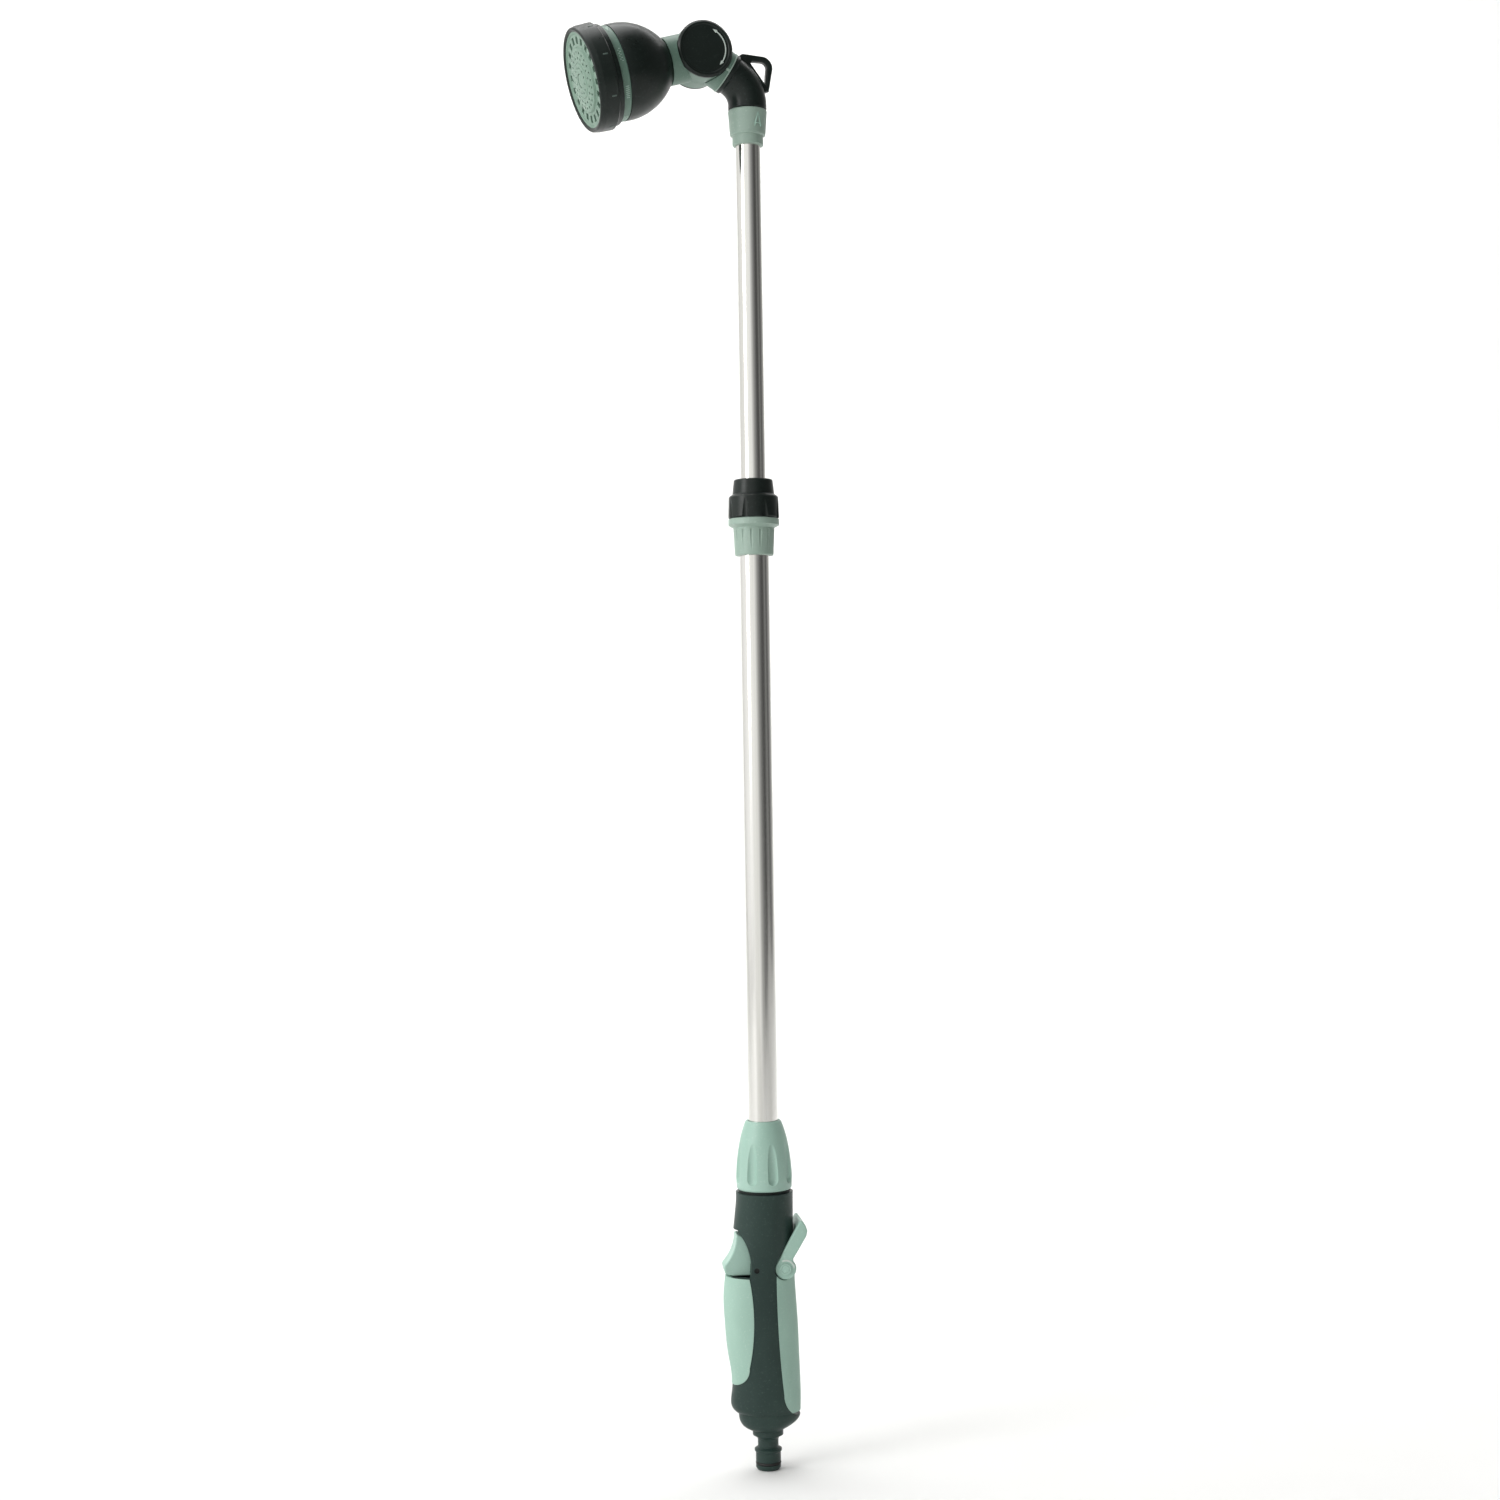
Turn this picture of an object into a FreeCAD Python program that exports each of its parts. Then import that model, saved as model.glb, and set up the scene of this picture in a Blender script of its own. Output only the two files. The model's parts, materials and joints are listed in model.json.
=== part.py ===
import FreeCAD, Part
import math
import os
import re

import Sketcher
from FreeCAD import Vector

# A telescopic watering wand, standing upright. Millimetres and degrees.
# The origin is the centre of the hose connector's end face, +Z runs up the wand
# and the spray head points towards -X. The Y = 0 plane splits the handle's shells.

SIZES = {
    # hose connector
    "barrel_radius": 8.0,
    "barrel_top": 11.0,
    "ridge_radius": 8.7,
    "ridge_height": 13.0,
    "neck_radius": 6.6,
    "neck_top": 19.0,
    "flange_radius": 9.8,
    "flange_bottom": 21.5,
    "flange_top": 25.5,
    "inlet_bore": 4.6,
    "ring_section": 1.0,
    # valve body inside the handle
    "chamber_radius": 8.6,
    "chamber_bore": 6.6,
    "chamber_top": 110.0,
    "seat_height": 98.0,
    "duct_offset": 10.8,
    "duct_radius": 4.9,
    "duct_bore": 3.0,
    "socket_floor": 155.0,
    "valve_head_radius": 12.6,
    "valve_head_offset": 1.3,
    "spigot_radius": 12.0,
    "spigot_top": 203.0,
    "stem_radius": 2.0,
    "poppet_radius": 4.7,
    "stem_top": 126.7,
    # handle
    "shell_wall": 4.6,
    "grip_proud": 0.45,
    "grip_sink": 2.2,
    "grip_top": 124.6,
    "crown_height": 177.5,
    "cavity_top": 168.0,
    # trigger
    "trigger_pin_x": -7.2,
    "trigger_pin_z": 130.0,
    "trigger_pin_radius": 1.75,
    "trigger_width": 15.4,
    "running_gap": 0.05,
    # flow lever
    "lever_x": 11.5,
    "lever_z": 130.0,
    "lever_hub": 6.8,
    "lever_inside": 10.9,
    "lever_outside": 14.0,
    "spindle_radius": 3.6,
    "lever_slant": 59.5,
    # union
    "nut_bottom": 179.4,
    "nut_top": 222.9,
    # tubes
    "lower_tube_radius": 9.5,
    "lower_tube_bore": 8.5,
    "lower_tube_bottom": 187.0,
    "lower_tube_top": 605.0,
    "upper_tube_radius": 8.0,
    "upper_tube_bore": 7.2,
    "upper_tube_bottom": 430.0,
    "upper_tube_top": 861.0,
    # twist lock
    "sleeve_bottom": 584.0,
    "lock_bottom": 607.8,
    "lock_top": 632.5,
    # head swivel and elbow
    "collar_bottom": 846.0,
    "collar_top": 868.4,
    "elbow_start": 872.0,
    "bend_radius": 20.4,
    "bend_angle": 60.0,
    "bend_run": 4.0,
    "elbow_radius": 12.3,
    "elbow_rim": 13.3,
    "elbow_bore": 7.0,
    "head_turn": 12.0,
    # tilting knuckle
    "knuckle_reach": 21.0,
    "drum_radius": 18.0,
    "drum_half": 12.4,
    "drum_gap": 0.4,
    "neck_outer": 15.2,
    "head_drop": 16.0,
    # spray head, measured from the tilt axis
    "bell_back": 22.5,
    "bell_front": 58.0,
    "ring_front": 63.5,
    "rim_back": 67.0,
    "rim_front": 80.0,
    "rim_radius": 33.3,
    "face_radius": 29.7,
    "slot_pitch_radius": 24.3,
    "slot_count": 20,
}

# Cross-sections of the handle, all ellipses: height, reach to the front, reach to
# the rear and half width of each.
HANDLE_SECTIONS = {
    "foot": (37.5, 20.4, 20.7, 15.6),
    "heel": (46.0, 23.3, 20.9, 17.0),
    "waist": (57.0, 22.2, 20.8, 16.7),
    "low_palm": (74.0, 24.3, 20.3, 17.0),
    "palm": (95.0, 26.2, 19.7, 17.3),
    "high_palm": (112.0, 26.7, 18.7, 17.3),
    "guard": (126.0, 25.2, 18.1, 17.2),
    "shoulder": (150.0, 20.9, 18.0, 17.4),
    "throat": (165.0, 19.0, 18.1, 17.9),
    "crown": (177.5, 18.3, 18.3, 18.3),
}

# The same for the oblique cup under the handle.
CUP_SECTIONS = {
    "cup_rim": (37.5, 18.5, 20.5, 15.0),
    "cup_side": (31.5, 17.9, 19.2, 14.6),
    "cup_turn": (28.0, 15.6, 14.5, 13.0),
    "cup_foot": (25.5, 10.9, 9.9, 10.4),
}

doc = FreeCAD.newDocument("WateringWand")
sheet = doc.addObject("Spreadsheet::Sheet", "Dims")


def section_cells(sections):
    """Name the four numbers of each cross-section for the sheet."""
    cells = {}
    for name, numbers in sections.items():
        for part, number in zip(("height", "front", "rear", "width"), numbers):
            cells[name + "_" + part] = number
    return cells


CELLS = {**SIZES, **section_cells(HANDLE_SECTIONS), **section_cells(CUP_SECTIONS)}
for row, (name, number) in enumerate(CELLS.items(), start=1):
    sheet.set("A%d" % row, name)
    sheet.set("B%d" % row, str(number))
    sheet.setAlias("B%d" % row, name)
doc.recompute()


def linked(formula):
    """Turn the names of dimensions in a formula into references to the sheet."""
    def reference(word):
        return "Dims." + word.group() if word.group() in CELLS else word.group()

    return re.sub(r"[a-z][a-z0-9_]*", reference, str(formula))


def value(formula):
    """The present value of a formula."""
    return float(sheet.evalExpression(linked(formula)))


def bind(thing, **formulas):
    """Bind properties of an object to formulas, and set their present values."""
    for name, formula in formulas.items():
        setattr(thing, name, value(formula))
        thing.setExpression(name, linked(formula))


def vector(x, y, z):
    return "vector(%s; %s; %s)" % (x, y, z)


def turn(axis, angle):
    """Placement formula of a turn about one of the axes through the origin."""
    along = {"x": "1; 0; 0", "y": "0; 1; 0", "z": "0; 0; 1"}[axis]
    return "placement(vector(0; 0; 0); rotation(vector(%s); %s))" % (along, angle)


def shift(x, y, z):
    """Placement formula of a plain move."""
    return "placement(%s; rotation(vector(0; 0; 1); 0))" % vector(x, y, z)


def put(thing, *moves):
    """Place an object by a chain of moves, the last of them done first."""
    thing.setExpression("Placement", linked(" * ".join(moves)))
    return thing


# --- frames of the turned and tilted pieces -------------------------------------

PIVOT_X = "-(bend_radius * (1 - cos(bend_angle)) + (bend_run + knuckle_reach) * sin(bend_angle))"
PIVOT_Z = "(elbow_start + bend_radius * sin(bend_angle) + (bend_run + knuckle_reach) * cos(bend_angle))"
SWIVEL = turn("z", "head_turn")
PIVOT = shift(PIVOT_X, "0", PIVOT_Z)
# from the tilt axis back to the elbow, and from the tilt axis out along the head
KNUCKLE = (SWIVEL, PIVOT, turn("y", "180 - bend_angle"))
HEAD = (SWIVEL, PIVOT, turn("y", "-90 - head_drop"))


# --- builders --------------------------------------------------------------------

def draw(body, plane, outlines):
    """Sketch closed outlines on one of a body's own planes.

    Each step of an outline is (x, y) for a straight run to that point, or
    (via_x, via_y, x, y) for an arc through the via point. The last step's end is
    where the outline starts. Every coordinate is a formula bound to the sheet.
    """
    sketch = body.newObject("Sketcher::SketchObject", body.Label + "_sketch")
    base = [feature for feature in body.Origin.OriginFeatures if feature.Role == plane][0]
    sketch.AttachmentSupport = [(base, "")]
    sketch.MapMode = "FlatFace"
    for outline in outlines:
        add_outline(sketch, outline)
    return sketch


def pin_point(sketch, geometry, point, x, y):
    """Hold a point of a sketch at two formulas, measured from the origin."""
    for kind, formula in (("DistanceX", x), ("DistanceY", y)):
        number = sketch.addConstraint(
            Sketcher.Constraint(kind, -1, 1, geometry, point, value(formula)))
        sketch.setExpression("Constraints[%d]" % number, linked(formula))


def add_outline(sketch, outline):
    """Add one closed outline to a sketch."""
    joints = []
    start = Vector(value(outline[-1][-2]), value(outline[-1][-1]), 0)
    for step in outline:
        end = Vector(value(step[-2]), value(step[-1]), 0)
        if len(step) == 2:
            number = sketch.addGeometry(Part.LineSegment(start, end), False)
            first, last = 1, 2
        else:
            via = Vector(value(step[0]), value(step[1]), 0)
            side = (via - start).cross(end - via).z
            number = sketch.addGeometry(Part.Arc(start, via, end), False)
            first, last = (1, 2) if side > 0 else (2, 1)
            mark = sketch.addGeometry(Part.Point(via), True)
            pin_point(sketch, mark, 1, step[0], step[1])
            sketch.addConstraint(Sketcher.Constraint("PointOnObject", mark, 1, number))
        joints.append((number, first, last, step))
        start = end
    for place, (number, first, last, step) in enumerate(joints):
        after, after_first = joints[(place + 1) % len(joints)][:2]
        sketch.addConstraint(Sketcher.Constraint("Coincident", number, last, after, after_first))
        pin_point(sketch, number, last, step[-2], step[-1])


def turned(label, *outlines):
    """A body turned about its Z axis: outlines of (radius, height)."""
    body = doc.addObject("PartDesign::Body", label)
    sketch = draw(body, "XZ_Plane", outlines)
    spin = body.newObject("PartDesign::Revolution", label + "_turning")
    spin.Profile = (sketch, [""])
    spin.ReferenceAxis = (sketch, ["V_Axis"])
    spin.Angle = 360
    return body


def plate(label, thickness, *outlines):
    """A body of even thickness about the Y = 0 plane: outlines of (x, z)."""
    body = doc.addObject("PartDesign::Body", label)
    sketch = draw(body, "XZ_Plane", outlines)
    pad = body.newObject("PartDesign::Pad", label + "_pad")
    pad.Profile = (sketch, [""])
    pad.Midplane = True
    bind(pad, Length=thickness)
    return body


def rounded(body, size, wanted, kind="PartDesign::Fillet"):
    """Round, or chamfer, the edges of a body that pass a test."""
    doc.recompute()
    base = body.Tip
    names = ["Edge%d" % number for number, edge in enumerate(base.Shape.Edges, 1) if wanted(edge)]
    feature = body.newObject(kind, body.Label + "_rounding")
    feature.Base = (base, names)
    bind(feature, **{"Radius" if kind.endswith("Fillet") else "Size": size})
    return body


def cross_edges(edge):
    """Test for edges that run along Y."""
    start, end = edge.Vertexes[0].Point, edge.Vertexes[-1].Point
    return abs(end.y - start.y) > 1 and math.hypot(end.x - start.x, end.z - start.z) < 0.01


def cross_edge_at(x, z):
    """Test for the one edge along Y at the given place."""
    place = (value(x), value(z))

    def test(edge):
        start = edge.Vertexes[0].Point
        return cross_edges(edge) and math.dist((start.x, start.z), place) < 0.02

    return test


def side_edges(edge):
    """Test for the outline edges on the two flat sides of a plate."""
    return not cross_edges(edge)


def cylinder(label, radius, low, high, x=0):
    """An upright cylinder between two heights."""
    solid = doc.addObject("Part::Cylinder", label)
    bind(solid, Radius=radius, Height="(%s) - (%s)" % (high, low))
    return put(solid, shift(x, 0, low))


def cross_cylinder(label, radius, x, z, near, far):
    """A cylinder along Y, from y = near to y = far."""
    solid = doc.addObject("Part::Cylinder", label)
    bind(solid, Radius=radius, Height="(%s) - (%s)" % (far, near))
    return put(solid, shift(x, near, z), turn("x", -90))


def block(label, low, high):
    """A box between two corners."""
    solid = doc.addObject("Part::Box", label)
    sides = ["(%s) - (%s)" % (far, near) for near, far in zip(low, high)]
    bind(solid, Length=sides[0], Width=sides[1], Height=sides[2])
    return put(solid, shift(*low))


def torus(label, ring, section, height, x=0):
    """A ring about the wand's axis."""
    solid = doc.addObject("Part::Torus", label)
    bind(solid, Radius1=ring, Radius2=section)
    return put(solid, shift(x, 0, height))


def fused(label, *solids):
    result = doc.addObject("Part::MultiFuse", label)
    result.Shapes = list(solids)
    return result


def cut(label, base, *tools):
    result = doc.addObject("Part::Cut", label)
    result.Base = base
    result.Tool = tools[0] if len(tools) == 1 else fused(label + "_cutters", *tools)
    return result


def cut_in_turn(label, base, *tools):
    """Cut with one tool after another, where the tools' own union is too tangled."""
    for number, tool in enumerate(tools, start=1):
        last = number == len(tools)
        result = doc.addObject("Part::Cut", label if last else "%s_step_%d" % (label, number))
        result.Base = base
        result.Tool = tool
        result.Refine = False
        base = result
    return base


def shared(label, base, tool):
    result = doc.addObject("Part::Common", label)
    result.Base = base
    result.Tool = tool
    result.Refine = False
    return result


def group(label, *solids):
    """Several separate solids in one node."""
    result = doc.addObject("Part::Compound", label)
    result.Links = list(solids)
    return result


def stations(label, sections, inset):
    """Ellipses of the named cross-sections, drawn in by an inset."""
    rings = []
    for name in sections:
        ring = doc.addObject("Part::Ellipse", "%s_%s" % (label, name))
        bind(ring,
             MajorRadius="(%s_front + %s_rear) / 2 - (%s)" % (name, name, inset),
             MinorRadius="%s_width - (%s)" % (name, inset))
        put(ring, shift("(%s_rear - %s_front) / 2" % (name, name), 0, name + "_height"))
        rings.append(ring)
    return rings


def lofted(label, sections, inset=0, ruled=False):
    """A solid skin over the named cross-sections."""
    loft = doc.addObject("Part::Loft", label)
    loft.Sections = stations(label, sections, inset)
    loft.Solid = True
    loft.Ruled = ruled
    return loft


# --- hose connector and valve ------------------------------------------------------

def hose_connector():
    """Male snap-in fitting with an O-ring groove, a ridge and a flange."""
    body = turned("hose_connector", [
        ("inlet_bore", "0"),
        ("barrel_radius - 1", "0"),
        ("barrel_radius", "1.4"),
        ("barrel_radius", "3.2"),
        ("barrel_radius - 1.8", "3.2"),
        ("barrel_radius - 1.8", "5.2"),
        ("barrel_radius", "5.2"),
        ("barrel_radius", "barrel_top"),
        ("ridge_radius", "ridge_height - 1.2"),
        ("ridge_radius", "ridge_height"),
        ("neck_radius", "ridge_height + 1.2"),
        ("neck_radius", "neck_top - 1"),
        ("neck_radius + 0.4", "neck_top + 1", "flange_radius - 1", "flange_bottom"),
        ("flange_radius", "flange_bottom + 0.6"),
        ("flange_radius", "flange_top"),
        ("chamber_bore", "flange_top"),
        ("chamber_bore", "flange_top + 11"),
        ("inlet_bore", "flange_top + 11"),
    ])
    torus("connector_o_ring", "barrel_radius - 0.78", "ring_section - 0.03", "4.2")
    turned("connector_gasket", [
        ("inlet_bore", "flange_top + 11"),
        ("chamber_bore", "flange_top + 11"),
        ("chamber_bore", "flange_top + 12.5"),
        ("inlet_bore", "flange_top + 12.5"),
    ])
    return body


def valve_body():
    """Water way: inlet chamber, seat, rear duct past the trigger, and tube socket."""
    outside = fused(
        "valve_outside",
        cylinder("valve_chamber", "chamber_radius", "flange_top", "chamber_top"),
        cylinder("valve_duct", "duct_radius", "seat_height", "socket_floor + 4", "duct_offset"),
        block("valve_bridge", ("0", "-duct_radius", "seat_height"),
              ("duct_offset", "duct_radius", "chamber_top")),
        shared("valve_boss",
               cross_cylinder("valve_boss_round", "5.2", "lever_x", "lever_z", "-5", "5"),
               block("valve_boss_limit", ("0", "-20", "0"), ("lever_x + 0.4", "20", "300"))),
        cylinder("valve_head", "valve_head_radius", "socket_floor", "socket_floor + 12",
                 "valve_head_offset"),
        cylinder("valve_spigot", "spigot_radius", "socket_floor", "spigot_top"),
        cylinder("valve_shoulder", "16.4", "crown_height", "crown_height + 1.5"),
    )
    inside = fused(
        "valve_inside",
        cylinder("bore_inlet", "chamber_bore", "flange_top", "seat_height"),
        cylinder("bore_seat", "stem_radius + 1.6", "seat_height", "seat_height + 7"),
        cylinder("bore_stem", "stem_radius + running_gap", "seat_height", "chamber_top"),
        cylinder("bore_packing", "stem_radius + 1.5", "chamber_top - 3", "chamber_top"),
        block("bore_crossing", ("0", "-2.4", "seat_height + 1.5"),
              ("duct_offset", "2.4", "seat_height + 6")),
        cylinder("bore_duct", "duct_bore", "seat_height + 1.5", "socket_floor + 3.6",
                 "duct_offset"),
        cross_cylinder("bore_spindle", "spindle_radius + running_gap", "lever_x", "lever_z",
                       "-11", "11"),
        cylinder("bore_head", "valve_head_radius - 2", "socket_floor + 3", "socket_floor + 9",
                 "valve_head_offset"),
        cylinder("bore_outlet", "chamber_bore + 1", "socket_floor + 8", "lower_tube_bottom"),
        cylinder("bore_socket", "lower_tube_radius", "lower_tube_bottom", "spigot_top"),
        cylinder("bore_union_ring", "lower_tube_radius + 1.4", "spigot_top - 3", "spigot_top"),
    )
    return cut("valve_body", outside, inside)


def valve_stem():
    """Poppet and push rod, pressed down by the trigger."""
    turned("valve_stem", [
        ("0", "seat_height - 8"),
        ("2.4", "seat_height - 8"),
        ("2.4", "seat_height - 5"),
        ("poppet_radius", "seat_height - 5"),
        ("poppet_radius", "seat_height - 1.5"),
        ("stem_radius", "seat_height - 1.5"),
        ("stem_radius", "stem_top - 0.6"),
        ("stem_radius - 0.6", "stem_top"),
        ("0", "stem_top"),
    ])
    turned("poppet_washer", [
        ("stem_radius", "seat_height - 1.5"),
        ("poppet_radius - 0.2", "seat_height - 1.5"),
        ("poppet_radius - 0.2", "seat_height - 0.05"),
        ("stem_radius", "seat_height - 0.05"),
    ])
    turned("stem_packing", [
        ("stem_radius + 0.02", "chamber_top - 3"),
        ("stem_radius + 1.5", "chamber_top - 3"),
        ("stem_radius + 1.5", "chamber_top - 0.6"),
        ("stem_radius + 0.02", "chamber_top - 0.6"),
    ])


def valve_spring():
    """Coil spring under the poppet, standing on the connector's gasket."""
    turns = 7
    steps = 16
    wire = 0.5
    radius = value("poppet_radius + 0.9")
    low = value("flange_top + 12.5") + wire
    rise = (value("seat_height - 5") - wire - low) / turns
    line = Part.BSplineCurve()
    line.interpolate([
        Vector(radius * math.cos(2 * math.pi * step / steps),
               radius * math.sin(2 * math.pi * step / steps),
               low + rise * step / steps)
        for step in range(turns * steps + 1)])
    spine = doc.addObject("Part::Feature", "spring_line")
    spine.Shape = line.toShape()
    section = doc.addObject("Part::Circle", "spring_section")
    bind(section, Radius=wire)
    put(section, shift("poppet_radius + 0.9", 0, low),
        turn("x", 90 + math.degrees(math.atan(rise / (2 * math.pi * radius)))))
    coil = doc.addObject("Part::Sweep", "valve_spring")
    coil.Sections = [section]
    coil.Spine = (spine, ["Edge1"])
    coil.Solid = True
    coil.Frenet = True
    return coil


# --- handle --------------------------------------------------------------------------

def grip_zones():
    """Side outlines of the front and rear grips, as plates through the handle."""
    front = plate("front_zone", "60", [
        ("-34", "55.8"),
        ("-34", "grip_top"),
        ("-12", "grip_top"),
        ("-9.6", "96", "-12.6", "68"),
        ("-15.4", "59.6", "-21.5", "55.8"),
    ])
    rear = plate("rear_zone", "60", [
        ("30", "35"),
        ("30", "grip_top + 1.4"),
        ("5.4", "grip_top + 1.4"),
        ("6", "92", "9.2", "50"),
        ("12.2", "40.5", "19", "35"),
    ])
    return front, rear


def lever_clearance():
    """Space on the left for the flow lever's hub and its arm over their swing."""
    hub = cross_cylinder("lever_hub_room", "lever_hub + 0.5", "lever_x", "lever_z", "-30",
                         "-lever_inside + 0.3")
    sweep = plate("lever_sweep", "60", [
        ("46", "lever_z - 2"),
        ("46", "lever_z + 46"),
        ("lever_x - (lever_hub + 0.5) * sin(lever_slant) + 48 * cos(lever_slant)",
         "lever_z + (lever_hub + 0.5) * cos(lever_slant) + 48 * sin(lever_slant)"),
        ("lever_x - (lever_hub + 0.5) * sin(lever_slant)",
         "lever_z + (lever_hub + 0.5) * cos(lever_slant)"),
        ("lever_x", "lever_z"),
    ])
    arm = shared("lever_arm_room", sweep, block("lever_arm_side", ("0", "-40", "0"),
                                                ("60", "-lever_inside + 0.3", "300")))
    return hub, arm


def trigger_clearance():
    """The slot that the trigger swings in, and the opening in front of the cheeks."""
    slot = block("trigger_slot", ("-40", "-trigger_width / 2 - 0.3", "grip_top"),
                 ("-2.2", "trigger_width / 2 + 0.3", "154.4"))
    mouth = plate("trigger_mouth", "60", [
        ("-40", "grip_top + 0.2"),
        ("-11.4", "grip_top + 0.2"),
        ("-10.9", "137", "-16.4", "151"),
        ("-18.6", "153"),
        ("-40", "153"),
    ])
    return slot, mouth


SCREWS = (("-13.5", "47"), ("-13.5", "84"), ("-13.5", "112"), ("-14.5", "160"))


def mirrored(label, solid):
    """The same solid on the other side of the Y = 0 plane."""
    result = doc.addObject("Part::Mirroring", label)
    result.Source = solid
    result.Normal = Vector(0, 1, 0)
    return result


def left_half(label, solid):
    """The part of a solid on the left of the middle plane."""
    return shared(label, solid, block(label + "_side", ("-60", "-40", "0"), ("60", "0", "300")))


def grips(proud, core, zones, rooms):
    """The two soft grips, each a skin laid over its zone of the handle."""
    layer = cut("grip_layer", left_half("grip_proud_half", proud), core)
    for name, zone, tools in zip(("front_grip", "rear_grip"), zones, rooms):
        half = cut_in_turn(name + "_half", shared(name + "_blank", layer, zone), *tools)
        fused(name, half, mirrored(name + "_mirror", half))


def handle():
    """Two shells split on the middle plane, with a soft grip at the front and rear."""
    skin = lofted("handle_skin", HANDLE_SECTIONS)
    cup = lofted("handle_cup", CUP_SECTIONS)
    proud = lofted("grip_skin", HANDLE_SECTIONS, "-grip_proud")
    core = lofted("grip_core", HANDLE_SECTIONS, "grip_sink")
    hollow = shared("handle_hollow", lofted("handle_inner", HANDLE_SECTIONS, "shell_wall"),
                    block("hollow_range", ("-40", "-40", "flange_top + 16"),
                          ("40", "40", "cavity_top")))
    zones = grip_zones()
    lever_rooms = lever_clearance()
    trigger_rooms = trigger_clearance()
    grips(proud, core, zones, (trigger_rooms, lever_rooms))

    posts = [cross_cylinder("post_%d" % number, "4", x, z, "-13", "13")
             for number, (x, z) in enumerate(SCREWS)]
    ears = cross_cylinder("trigger_ears", "4.4", "trigger_pin_x", "trigger_pin_z", "-14", "14")
    room = cut("handle_room", hollow, fused("handle_posts", ears, *posts))
    valve_rooms = (
        cylinder("room_chamber", "chamber_radius", "flange_top", "chamber_top"),
        cylinder("room_spigot", "spigot_radius", "socket_floor", "crown_height"),
        cylinder("room_head", "valve_head_radius", "socket_floor", "socket_floor + 12",
                 "valve_head_offset"),
        cylinder("room_duct", "duct_radius", "seat_height", "socket_floor + 4", "duct_offset"),
        block("room_bridge", ("0", "-duct_radius", "seat_height"),
              ("duct_offset", "duct_radius", "chamber_top")),
    )
    pin_hole = cross_cylinder("pin_hole", "trigger_pin_radius", "trigger_pin_x", "trigger_pin_z",
                              "-30", "30")
    spindle_hole = cross_cylinder("spindle_hole", "spindle_radius + running_gap", "lever_x",
                                  "lever_z", "-30", "30")
    shanks = [cross_cylinder("shank_hole_%d" % number, "1.5", x, z, "-9.5", "9.5")
              for number, (x, z) in enumerate(SCREWS)]
    solid = left_half("handle_half", fused("handle_solid", skin, cup))
    pockets = [cut(zone.Label + "_pocket", zone, core) for zone in zones]
    shell = cut_in_turn("handle_shell_left", solid, *pockets, *valve_rooms, room, *lever_rooms,
                        *trigger_rooms, pin_hole, spindle_hole, *shanks)
    heads = [cross_cylinder("head_hole_%d" % number, "3", x, z, "9", "30")
             for number, (x, z) in enumerate(SCREWS)]
    cut_in_turn("handle_shell_right", mirrored("shell_mirror", shell), *heads)
    group("shell_screws", *[shell_screw(number, x, z) for number, (x, z) in enumerate(SCREWS)])
    cross_cylinder("trigger_pin", "trigger_pin_radius", "trigger_pin_x", "trigger_pin_z",
                   "-15.9", "15.9")


def shell_screw(number, x, z):
    """One shell screw, its head in the right shell."""
    return fused("shell_screw_%d" % number,
                 cross_cylinder("screw_shank_%d" % number, "1.5", x, z, "-9.5", "9.5"),
                 cross_cylinder("screw_head_%d" % number, "2.8", x, z, "9", "11"))


# --- trigger and flow lever ----------------------------------------------------------

def trigger():
    """Curved finger lever on a cross pin, with a nose over the valve stem."""
    lever = plate("trigger_blank", "trigger_width", [
        ("-19.2", "151.4"),
        ("-21.2", "141", "-27.4", "131.6"),
        ("-26.6", "127"),
        ("-22", "grip_top + 0.8"),
        ("-9", "grip_top + 0.8"),
        ("-3.4", "stem_top + 0.45"),
        ("0.8", "stem_top + 0.45"),
        ("0.8", "132"),
        ("-6", "135"),
        ("-9.5", "139"),
        ("-14.8", "150.4"),
    ])
    rounded(lever, "3", cross_edge_at("-27.4", "131.6"))
    rounded(lever, "1.2", cross_edges)
    rounded(lever, "0.9", side_edges)
    hole = cross_cylinder("trigger_hole", "trigger_pin_radius + running_gap", "trigger_pin_x",
                          "trigger_pin_z", "-20", "20")
    nose = fused(
        "trigger_nose_sides",
        block("trigger_left_relief", ("-5.2", "-20", "100"), ("10", "-3.2", "160")),
        block("trigger_right_relief", ("-5.2", "3.2", "100"), ("10", "20", "160")))
    return cut("trigger", lever, hole, nose)


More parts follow.
